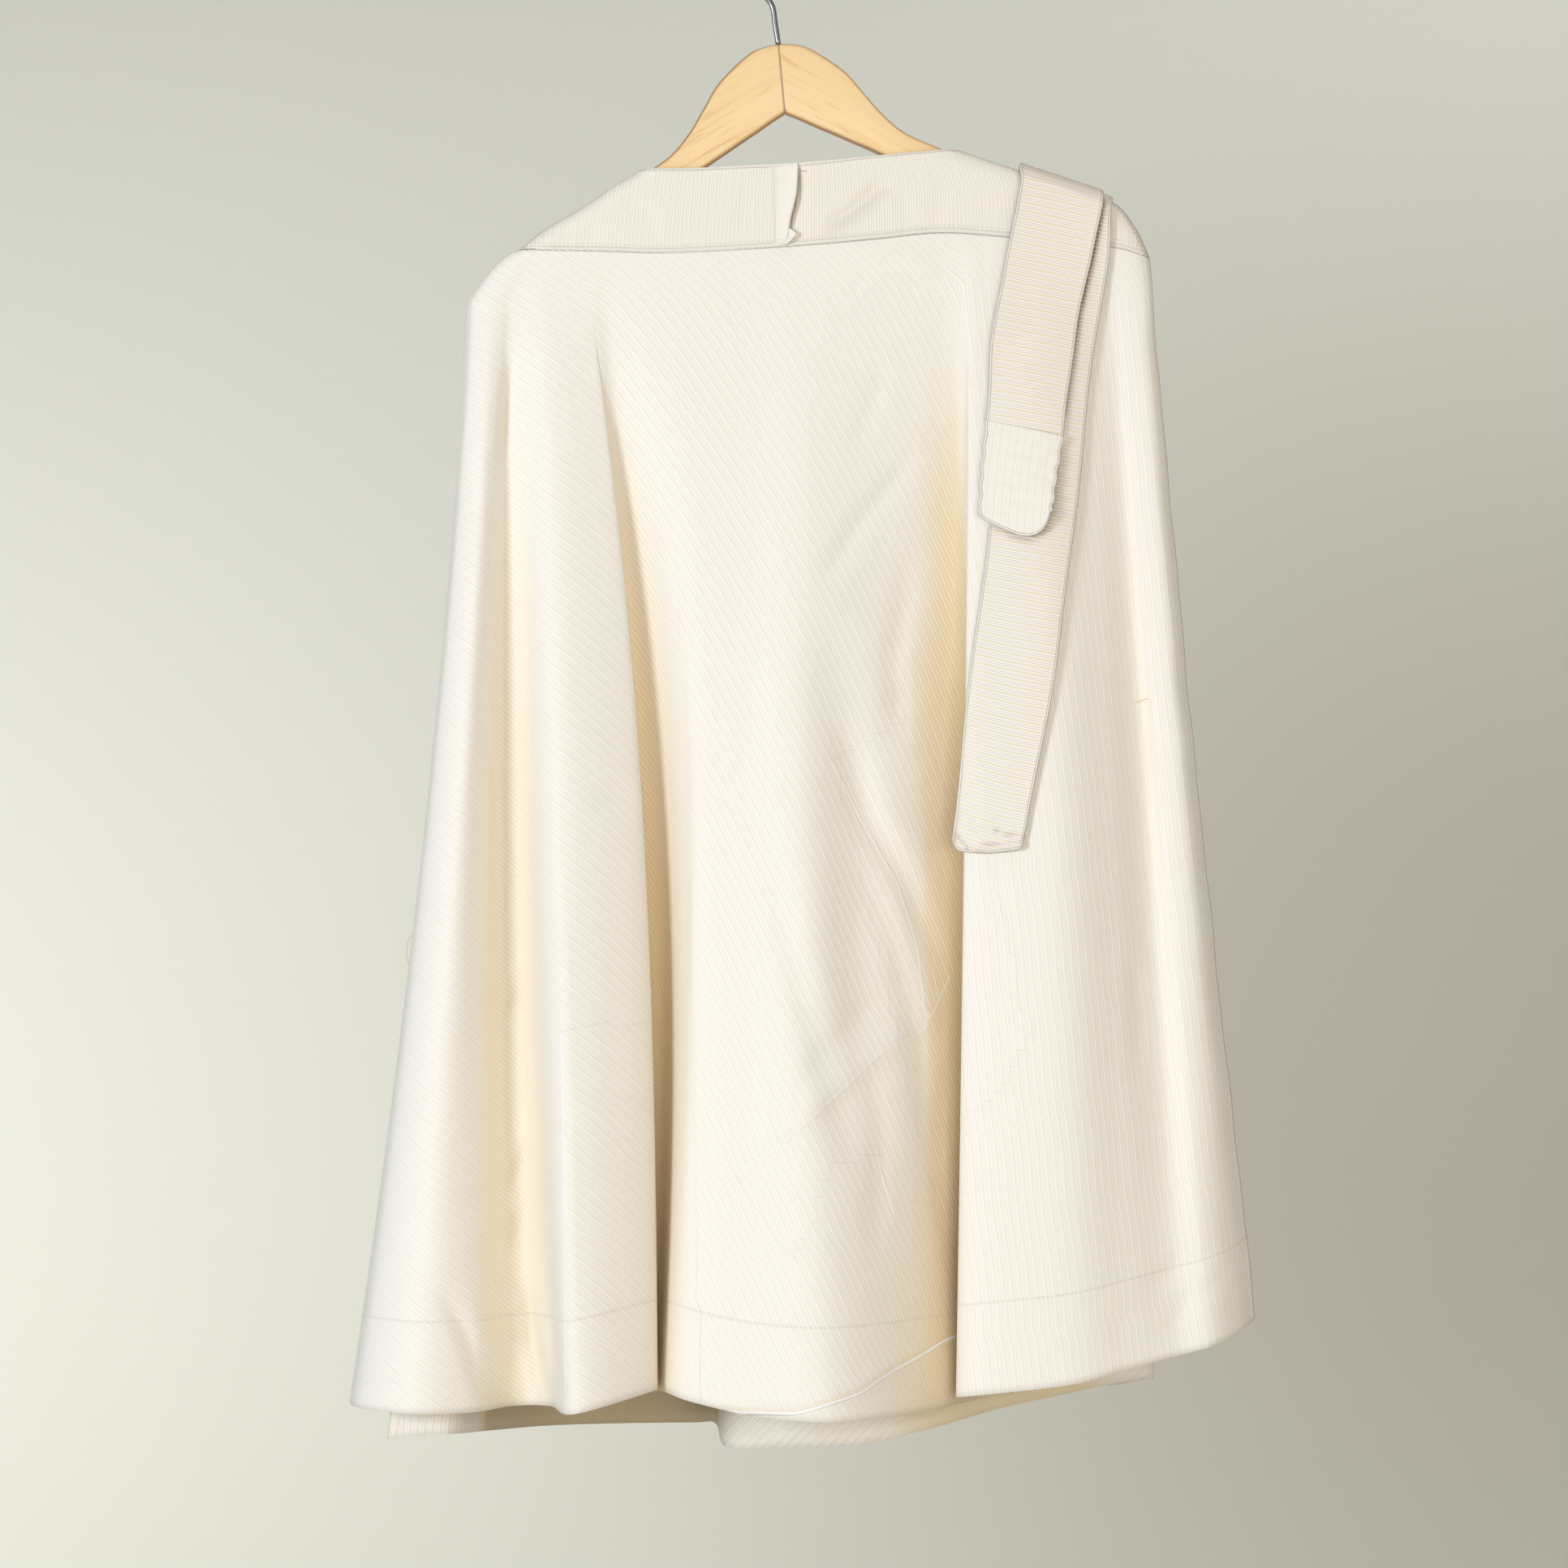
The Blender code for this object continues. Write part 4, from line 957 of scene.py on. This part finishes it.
# --- hanger ---
def hanger_half(name, side, material):
    """Half of the hanger: a rectangle with round corners carried along the arm between its
    top and bottom edges, drawn in toward its middle at the outer end. A point of the
    rectangle is a corner's centre share plus the radius times its direction."""
    arm = through(ARM, np.linspace(0, 1, 110))
    arm[0, 0] = MITRE_GAP / 2
    along, top, bottom = (arm[:, k:k + 1] for k in range(3))
    turn = np.concatenate([np.linspace(k, k + 1, 6) for k in range(4)]) * math.pi / 2
    corner_y, corner_up = np.repeat(((1, 1), (-1, 1), (-1, -1), (1, -1)), 6, axis=0).T
    shrink = 0.45 + 0.55 * np.sqrt(1 - (1 - held((arm[-1, 0] - along) / ARM_END)) ** 2)
    half_up = ((top - bottom) / 2 - ARM_ROUND).clip(0.5)
    y = (corner_y * (HANGER_THICK / 2 - ARM_ROUND) + ARM_ROUND * np.cos(turn)) * shrink
    up = (top + bottom) / 2 + (corner_up * half_up + ARM_ROUND * np.sin(turn)) * shrink
    x = HANGER_NECK[0] + along * side * math.cos(HANGER_TILT) - up * math.sin(HANGER_TILT)
    z = HANGER_NECK[1] + along * side * math.sin(HANGER_TILT) + up * math.cos(HANGER_TILT)
    rings = np.stack((x, y, z), -1)
    points, (walls, caps) = ringed(rings, rings[[0, -1]].mean(axis=1))
    if side < 0:
        walls, caps = walls[:, ::-1], caps[:, ::-1]
    show(name + "_wood", points, (walls, caps), material, "wood", name)


def hanger_hook(material):
    """The wire: up from the neck, over the rail and down to an open end."""
    angle = np.linspace(*HOOK_TURN, 49)
    bow = np.column_stack((HOOK_RADIUS * np.cos(angle),
                           WIRE / 2 - HOOK_RADIUS + HOOK_RADIUS * np.sin(angle)))
    flat = np.vstack((through(HOOK_SHANK, np.linspace(0, 1, 25))[:-1], bow))
    show("hook_wire", *tube(with_depth(flat, np.zeros(len(flat))), WIRE / 2, 20), material, "wire",
         "hanger_hook")


# --- materials ---
class Thread:
    """One value in a material. Arithmetic on it adds Math nodes to the material."""

    def __init__(self, finish, socket):
        self.finish = finish
        self.socket = socket

    def maths(self, operation, other=0.0, turned=False):
        """A Math node on this value and the other, in that order unless turned."""
        pair = (other, self) if turned else (self, other)
        return self.finish.node("Math", {"operation": operation}, dict(enumerate(pair)))

    __add__ = __radd__ = partialmethod(maths, "ADD")
    __sub__ = partialmethod(maths, "SUBTRACT")
    __rsub__ = partialmethod(maths, "SUBTRACT", turned=True)
    __mul__ = __rmul__ = partialmethod(maths, "MULTIPLY")
    __truediv__ = partialmethod(maths, "DIVIDE")
    size = partialmethod(maths, "ABSOLUTE")

    def above(self, low, high):
        """0 below low, 1 above high, and a smooth step between them."""
        return self.finish.node("MapRange", {"interpolation_type": "SMOOTHSTEP"},
                                {0: self, 1: low, 2: high, 3: 0.0, 4: 1.0})

    def line(self, centre, half, soft):
        """1 within half of the centre and 0 past half plus soft."""
        return 1.0 - (self - centre).size().above(half, half + soft)


class Finish:
    """A new material for one finish; its nodes are added by node()."""

    def __init__(self, name):
        self.material = bpy.data.materials.new(name)
        self.material.use_nodes = True
        self.tree = self.material.node_tree
        self.shader = self.tree.nodes["Principled BSDF"]

    def node(self, kind, settings, sockets, out=0):
        """Adds a node, applies its settings, then its sockets' values or links."""
        node = self.tree.nodes.new("ShaderNode" + kind)
        for name, value in settings.items():
            setattr(node, name, value)
        for name, value in sockets.items():
            self.feed(node.inputs[name], value)
        return Thread(self, node.outputs[out])

    def feed(self, socket, value):
        if isinstance(value, Thread):
            self.tree.links.new(value.socket, socket)
        else:
            socket.default_value = value

    def place(self):
        return self.node("TexCoord", {}, {}, "Object")

    def axis(self, vector, number):
        return self.node("SeparateXYZ", {}, {0: vector}, number)

    def mix(self, share, first, second):
        """A colour between two, by a share from 0 to 1."""
        colours = [c if isinstance(c, Thread) else (*c, 1.0) for c in (first, second)]
        return self.node("Mix", {"data_type": "RGBA"}, {0: share, 6: colours[0], 7: colours[1]}, 2)

    def noise(self, coordinates, scale, detail=2.0, roughness=0.5):
        return self.node("TexNoise", {}, {"Vector": coordinates, "Scale": scale,
                                          "Detail": detail, "Roughness": roughness}, "Fac")

    def value(self, title):
        """A value that the mesh holds for each of its points."""
        return self.node("Attribute", {"attribute_name": title}, {}, "Fac")

    def bump(self, height, distance, strength):
        self.set(normal=self.node("Bump", {}, {"Strength": strength, "Distance": distance,
                                               "Height": height}))

    def set(self, **values):
        for name, value in values.items():
            self.feed(self.shader.inputs[name.replace("_", " ").title()], value)
        return self.material


def striped_cotton(name, beige_share, grey_share, white_share, hem=False, with_crease_highlights=False,
                   rimmed=False, outline=0.0, ground=IVORY):
    """Woven stripes from the cut's own coordinates. Phase is the place within one repeat: a
    beige band lies at its quarter between two thin raised white lines, and two thin grey
    threads lie in its other half. Threads are noise drawn out along and across the stripes.
    With hem, the folds get a painted tan and brown shade, a painted shadow line lies just below the
    band's lap at the waist, the narrow side hem is a little more cream, and its sewing and the
    hem's pull small puckers, at their distance on the cut. With the crease flag, two sharp creases
    stand out as painted highlights, with painted shade below the hem's. With rimmed, the stripes
    end at the sewing of the folded edges; the painted shade the mesh holds goes in as brown, and
    the outline paints a shadow line at the very rim and deepens the sewing groove."""
    cloth = Finish(name)
    uv = cloth.node("UVMap", {"uv_map": "cut"}, {})
    u, v = cloth.axis(uv, 0), cloth.axis(uv, 1)
    slow = cloth.noise(uv, 9.0)
    warp, weft = (cloth.noise(cloth.node("CombineXYZ", {}, {0: u * along, 1: v * across}), 1.0, 3.0)
                  for along, across in ((2300.0, 120.0), (150.0, 1700.0)))
    phase = (u / (STRIPE * MM) + slow * 0.10).maths("FRACT")
    beige = phase.line(0.25, 0.135, 0.07)
    white = (phase - 0.25).size().line(0.225, 0.02, 0.045)
    grey = (phase - 0.75).size().line(0.13, 0.025, 0.045)
    worn = 0.72 + 0.56 * warp * (0.6 + 0.8 * slow)
    if rimmed:
        rim = cloth.value("from_rim")
        face = rim.above(0.75, 1.15)
        worn = worn * (0.12 + 0.88 * face)
    colour = cloth.mix(beige * worn * beige_share, ground, BEIGE)
    colour = cloth.mix(grey * worn * grey_share, colour, GREY_THREAD)
    colour = cloth.mix((weft - 0.45).above(0.0, 0.35) * 0.12, colour, BEIGE)
    height = warp * 0.5 + weft * 0.6 + (beige + white) * 0.35 - grey * 0.2
    if rimmed:
        groove = rim.line(1.0, 0.05, 0.22)
        height = height - groove * 2.4 + (1.0 - face) * 1.2
        # painted shade and shadow: the shade the mesh holds in brown, the rim's own tone, the sewing
        # groove (thread grey, with painted shade as strong as the outline) and a painted shadow line
        # at the very rim
        for share, shade in ((cloth.value("painted_shade"), PAINTED_SHADOW_BROWN), ((1.0 - face) * 0.14, BEIGE),
                             (groove * (0.10 + 0.3 * outline), GREY_THREAD),
                             ((1.0 - rim.above(0.12, 0.42)) * outline, PAINTED_SHADOW_GREY)):
            colour = cloth.mix(share, colour, shade)
    if hem:
        inside = cloth.value("painted_shade")
        pucker = cloth.noise(uv, 95.0, 1.0)
        radius = (u * u + v * v).maths("SQRT")
        turn, near = (radius.line((CUT_HEM - HEM_FOLD) * MM, half, soft)
                      for half, soft in ((0.0002, 0.0010), (0.0005, 0.009)))
        # a painted shadow line just below the band's lap
        seam = radius.line((CUT_WAIST + 0.8) * MM, 0.0003, 0.0004) * (0.15 + 0.9 * slow)
        side = u.line(SIDE_HEM * MM, 0.0002, 0.0009)
        edge = 1.0 - u.above((SIDE_HEM - 0.6) * MM, (SIDE_HEM + 0.4) * MM)
        height = height - (turn + side) * 1.5 + (near + edge * 1.6) * pucker * 1.2
        # painted shade: tan where the folds close the cloth in, deep brown where they close it most
        for share, shade in ((inside.above(0.24, 0.95) * 0.75, PAINTED_FOLD_SHADE),
                             (inside.above(1.0, 1.5) * 0.6, PAINTED_DEEP_SHADE),
                             (edge * 0.35 * (0.6 + 0.6 * pucker), CREAM),
                             ((turn * 0.06 + side * 0.12) * (0.4 + pucker), GREY_THREAD),
                             (seam, PAINTED_SHADOW_GREY)):
            colour = cloth.mix(share, colour, shade)
    colour = cloth.mix(white * worn * white_share, colour, WHITE_THREAD_AND_HIGHLIGHT)
    # painted highlights along the hem's turn and the fine creases, with painted shade below the
    # hem's
    if with_crease_highlights:
        turned = cloth.value("hem_highlight_gap")
        painted_crease_light = turned.line(0.0, 0.75, 0.6) + cloth.value("ridge_highlight_gap").line(0.0, 0.2, 1.0) * 0.45
        below = turned.line(-2.2, 0.3, 2.4) * 0.22
        colour = cloth.mix(painted_crease_light * 0.85, cloth.mix(below, colour, PAINTED_FOLD_SHADE), WHITE_THREAD_AND_HIGHLIGHT)
        height = height + painted_crease_light * 2.5 - below * 2.0
    cloth.bump(height, 0.00022, 0.8)
    return cloth.set(base_color=colour, roughness=0.92, sheen_weight=0.12, sheen_roughness=0.5)


def honey_wood(name, slope):
    """Fine straight grain along an arm: noise drawn out 11 to 14 times along its slope, dark
    only in its thin lines, and painted shade where a face turns up, down or to the left."""
    wood = Finish(name)
    turned = wood.node("Mapping", {}, {"Vector": wood.place(), "Rotation": (0.0, slope, 0.0)})
    drawn, broad = (wood.node("Mapping", {}, {"Vector": turned, "Scale": scale})
                    for scale in ((14.0, 160.0, 200.0), (4.0, 30.0, 45.0)))
    fine = wood.noise(drawn, 1.0, 6.0, 0.65)
    bands = wood.noise(broad, 1.0, 3.0)
    normal = wood.node("NewGeometry", {}, {}, "Normal")
    aside = 0.0 - wood.axis(normal, 0)
    # painted shade where a face turns away from the front: up, down or to the left
    rim = 1.0 - wood.axis(normal, 1).size().above(0.15, 0.93) + aside.above(0.12, 0.5) * 0.6
    colour = wood.mix(fine.above(0.50, 0.70) * 0.62 + bands.above(0.48, 0.78) * 0.30, HONEY, GRAIN)
    wood.bump(fine, 0.0002, 0.35)
    return wood.set(base_color=wood.mix(rim * 0.8, colour, PAINTED_EDGE_SHADE),
                    roughness=0.36 + fine * 0.12, coat_weight=0.3, coat_roughness=0.25)


def plated_wire():
    """Grey plated steel with faint drawing marks along it."""
    wire = Finish("plated_wire")
    marks = wire.noise(wire.place(), 900.0, 4.0)
    return wire.set(base_color=wire.mix(marks * 0.5, (0.36, 0.36, 0.37), (0.20, 0.20, 0.21)),
                    metallic=1.0, roughness=0.24 + marks * 0.16)


def sewing_thread(name, colour):
    """Plain cotton thread with its twist."""
    thread = Finish(name)
    twist = thread.noise(thread.place(), 2500.0)
    dark = tuple(0.6 * c for c in colour)
    return thread.set(base_color=thread.mix(twist * 0.35, colour, dark), roughness=0.85)


def shadowed_studio_paint(name, light, dark, low, high):
    """Pale matt paint with a painted shadow, darkest round one place low on the right: its share is
    a smooth step of the distance from there."""
    paint = Finish(name)
    place = paint.place()
    x, z = paint.axis(place, 0) - 1.15, paint.axis(place, 2) + 0.95
    share = (x * x + z * z).maths("SQRT").above(low, high)
    return paint.set(base_color=paint.mix(share + paint.noise(place, 3.0) * 0.02, light, dark),
                     roughness=0.95)


# --- the object ---
def add_bands(cloth):
    """The four bands. The back one sags below the outer by sin(pi x share)^0.6."""
    sag = np.sin(math.pi * np.linspace(0, 1, 33)) ** 0.6
    starts = (BAND_LEFT[0][0], BAND_LEFT[-1][0])
    parts = (
        ("left", "band_front_left", outer_band("right"), BAND_WALL, "right"),
        ("right", "band_front_right", outer_band("left"), BAND_WALL, "left"),
        ("back", "band_back", inner_band(100, 1, BACK_DEPTH, starts,
                                         (BACK_SAG * sag, BACK_SEAM_SAG * sag), BAND_LEFT),
         BAND_WALL, ""),
        ("under", "band_under", inner_band(90, -1, UNDER_DEPTH, UNDER_STARTS,
                                           np.full((2, 25), UNDER_DROP)), PANEL_WALL, ""),
    )
    pieces = {}
    for name, node, grid, wall, edge in parts:
        values = {"from_rim": band_rims(grid, edge), "painted_shade": slit_shade(grid, edge)}
        pieces[f"band_{name}_cloth"] = cloth_piece(
            f"band_{name}_cloth", grid, band_uv(grid), wall, cloth, node, values, name == "back")
    return [part[2] for part in parts], pieces


def add_panels(edges):
    """The three panels, each under its band's edge."""
    cotton = {
        "back_panel": striped_cotton("striped_cotton", 0.40, 0.32, 0.7, hem=True),
        # the inner front's paler ground is painted light
        "under_wrap": striped_cotton("striped_inner_cotton", 0.75, 0.75, 0.6, hem=True, ground=PAINTED_LIGHT_IVORY),
        "front_wrap": striped_cotton("striped_front_cotton", 0.36, 0.24, 0.75, hem=True, with_crease_highlights=True),
    }
    plain, shaped, pieces = {}, {}, {}
    for (node, folds, creases, per_fold, rows, wave, cut, hidden, _), edge in zip(PANELS, edges):
        outer = node == "front_wrap"
        grid = panel_grid(folds, edge, per_fold, rows, node == "back_panel", node != "under_wrap")
        plain[node] = grid
        grid = wavy_edge(pressed(grid, creases, per_fold), wave)
        # each panel holds the darkness of its folds, which its material paints in as shade; the
        # outer front also holds its distances to the lines of painted highlight
        if outer:
            hem = grid[-1, np.argsort(grid[-1, :, 0])][:, ::2]
            values = {"painted_shade": front_shade(grid, per_fold),
                      "hem_highlight_gap": signed_gap(grid, HEM_HIGHLIGHT_LINE),
                      "ridge_highlight_gap": signed_gap(grid, *HIGHLIGHT_CREASES)}
            values["hem_highlight_gap"][:, TUCK_TURN:] = FAR
        elif node == "under_wrap":
            # painted shade: the folds', and where the outer front covers the inner one
            values = {"painted_shade": np.maximum(0.35 * painted_shade(grid), shade_behind_front(grid, hem))}
        else:
            values = {"painted_shade": 0.6 * painted_shade(grid)}
        shaped[node] = grid
        pieces[node + "_cloth"] = cloth_piece(
            node + "_cloth", grid, cut_uv(grid, cut, hidden, per_fold, outer), PANEL_WALL,
            cotton[node], node, values, not outer)
    return plain["front_wrap"], shaped, pieces


def add_ties(front):
    """The long tie, the short tie over it and the short tie's tip."""
    # the outline paints a shadow line along the ties' folded edges
    cloth = striped_cotton("striped_tie_cotton", 0.80, 0.80, 0.75, rimmed=True, outline=0.6)
    tip_cloth = striped_cotton("striped_tip_cotton", 0.46, 0.30, 0.55, rimmed=True, outline=0.4)
    depth = front_depth(front)
    long = refined(tie_grid(TIE_LONG, LONG_OVER, depth, TIE_LONG_DEPTH, 14, 1.0), 260)
    long = tie_relief(footed(long, LONG_FOOT, LONG_LOWEST, 26), 0.22)
    long = rolled_end(pressed(long, LONG_CREASES, 40), 1.2)
    short = refined(tie_grid(TIE_SHORT, SHORT_OVER, depth, TIE_SHORT_DEPTH, 6), 150)
    short = tie_relief(short, 0.2)
    tip = refined(tie_grid(TIE_TIP, None, depth, TIE_SHORT_DEPTH, 6), 90)
    tip = footed(tip, TIP_FOOT, TIP_LOWEST, 5)
    tip[:2, :, 2] += ((0.75,), (0.35,))
    tip = pressed(tie_relief(tip, 0.25, 3.4), TIP_CREASES, 40)
    slopes = ((0, 0.3), (0.3, 0.19), (0.62, 0.14), (0.85, 0.22), (1, 0.28))
    none = np.zeros(short.shape[:2]), np.zeros(tip.shape[:2])
    pieces = {}
    for name, node, grid, finish, uv, shade in (
            ("tie_long_cloth", "tie_long", long, cloth, tie_uv(long, slopes, 0.0034),
             tip_shade(long, short, tip)),
            ("tie_short_cloth", "tie_short", short, cloth,
             tie_uv(short, ((0, 0.3), (0.5, 0.22), (1, 0.17))), none[0]),
            ("tie_tip_cloth", "tie_short_tip", tip, tip_cloth, tie_uv(tip), none[1])):
        values = {"from_rim": from_rim(grid, node != "tie_short"), "painted_shade": shade}
        pieces[name] = cloth_piece(name, grid, uv, TIE_WALL, finish, node, values)
    return long, short, tip, pieces


def add_corner(cloth):
    """The slit's corner: ruled between its fold and its free edge, with a soft bulge."""
    share, across = shares(33, 9)
    fold, edge = through(CORNER_FOLD, share), through(CORNER_EDGE, share)
    grid = fold * (1 - across[..., None]) + edge * across[..., None]
    grid[..., 1] -= 0.5 * np.sin(math.pi * across)
    plain = np.zeros(grid.shape[:2])
    return cloth_piece("slit_corner_cloth", grid, grid[..., ::2] * MM, 0.7, cloth, None,
                       {"from_rim": plain, "painted_shade": plain})


def add_threads(front, plain_front):
    """A loose thread at the left and a coloured fleck woven in on the right."""
    out, z = np.array(LOOSE_THREAD).T
    x, y = (np.interp(-z, -front[:, 3, 2], front[:, 3, k]) for k in (0, 1))
    loose = through(np.column_stack((x + out, y - 1.0, z)), np.linspace(0, 1, 40))
    fleck = through(FLECK, np.linspace(0, 1, 24))
    fleck = with_depth(fleck, front_depth(plain_front)(*fleck.T) - PANEL_WALL / 2)
    for name, route, radius, colour in (("loose", loose, 0.28, (0.74, 0.70, 0.62)),
                                        ("fleck", fleck, 0.3, (0.72, 0.52, 0.24))):
        show(name + "_thread", *tube(route, radius, 6), sewing_thread(name + "_cotton", colour))


def add_sewing(panels, left, right, long, short, tip):
    """Rows of stitches: hems and narrow edges of the panels, the band's top edge and seam,
    the ties' folded edges, the band's right end and the bar at the slit's head."""
    front, under, back = (panels[row[0]] for row in PANELS)
    hem = level_path((1 - HEM_FOLD / (CUT_HEM - CUT_WAIST)) ** (1 / ROW_POWER))
    panel, band, tie = PANEL_WALL / 2, BAND_WALL / 2, TIE_WALL / 2
    # name, colour, half wall, then for each row its surface, path and side
    for name, colour, wall, rows in (
            ("front_hem", PANEL_STITCH, panel,
             ((front, hem, 1), (front, inset_path(front, SIDE_HEM), 1))),
            ("inner_hem", PANEL_STITCH, panel,
             ((under, hem, 1), (under, inset_path(under, SIDE_HEM), 1), (back, hem, -1))),
            ("band", BAND_STITCH, band,
             [(left, level_path(down, 0, 0.985), 1) for down in (0.038, 0.95)]
             + [(right, level_path(down, 0.01), 1) for down in (0.038, 0.95)]),
            ("tie", BAND_STITCH, tie,
             ((long, upright_path(0.029), 1), (long, upright_path(0.971), 1),
              (long, level_path(0.9966, 0.04, 0.96), 1),
              (short, upright_path(0.029), 1), (short, upright_path(0.971), 1),
              (tip, upright_path(0.031), 1), (tip, upright_path(0.969), 1),
              (tip, level_path(0.979, 0.05, 0.95), 1))),
            ("end", (0.30, 0.27, 0.24), band, ((right, upright_path(0.985, 0.25), 1),))):
        places = [stitch_places(grid, path, wall, outward) for grid, path, outward in rows]
        show_beads(name, colour, *(np.concatenate(part) for part in zip(*places)))
    bar = np.array(BAR)
    show_beads("slit_bar", (0.24, 0.20, 0.16),
               with_depth(bar[:, :2], np.full(len(bar), -FRONT_DEPTH - band - 0.35)),
               with_depth(bar[:, 2:], np.zeros(len(bar))),
               np.tile((0.0, -1.0, 0.0), (len(bar), 1)), 2.1, 0.55)


def add_studio():
    """Camera, floor, wall and soft lights."""
    scene = bpy.context.scene
    camera = bpy.data.objects.new("camera", bpy.data.cameras.new("camera"))
    scene.collection.objects.link(camera)
    camera.location = CAMERA_PLACE
    camera.rotation_euler = (math.pi / 2, 0, 0)
    camera.data.sensor_width = 36.0
    camera.data.lens = 90.9
    scene.camera = camera
    scene.view_settings.view_transform = "Standard"
    for name, corners, *paint in STUDIO:
        mesh = bpy.data.meshes.new(name)
        mesh.from_pydata(corners, [], [(0, 1, 2, 3)])
        mesh.materials.append(shadowed_studio_paint(name + "_paint", *paint))
        thing = bpy.data.objects.new(name, mesh)
        scene.collection.objects.link(thing)
    world = bpy.data.worlds.new("studio")
    world.use_nodes = True
    background = world.node_tree.nodes["Background"]
    background.inputs["Color"].default_value = (1.03, 0.95, 0.82, 1)
    background.inputs["Strength"].default_value = 0.24
    scene.world = world
    for name, place, target, size, watts, colour in LIGHTS:
        lamp = bpy.data.lights.new(name, "AREA")
        lamp.size = size
        lamp.energy = watts
        lamp.color = colour
        light = bpy.data.objects.new(name, lamp)
        light.location = place
        way = unit(np.array(target) - np.array(place))
        light.rotation_euler = (math.acos(-way[2]), 0, math.atan2(-way[0], way[1]))
        scene.collection.objects.link(light)


def build():
    """Adds everything in one fixed order."""
    add_studio()
    band_cloth = striped_cotton("striped_band_cotton", 0.62, 0.60, 0.65, rimmed=True)
    (left, right, back, under), bands = add_bands(band_cloth)
    seam_edge = np.vstack((left[-1][:-1], right[-1]))
    seam_edge[:, 2] += BAND_LAP
    plain_front, panels, panel_pieces = add_panels((seam_edge, under[-1], back[-1]))
    long, short, tip, ties = add_ties(plain_front)
    for side, name in ((-1, "left"), (1, "right")):
        hanger_half("hanger_" + name, side, honey_wood(name + "_arm_wood", math.radians(-30 * side)))
    hanger_hook(plated_wire())
    corner = add_corner(band_cloth)
    add_sewing(panels, left, right, long, short, tip)
    add_threads(panels["front_wrap"], plain_front)


build()
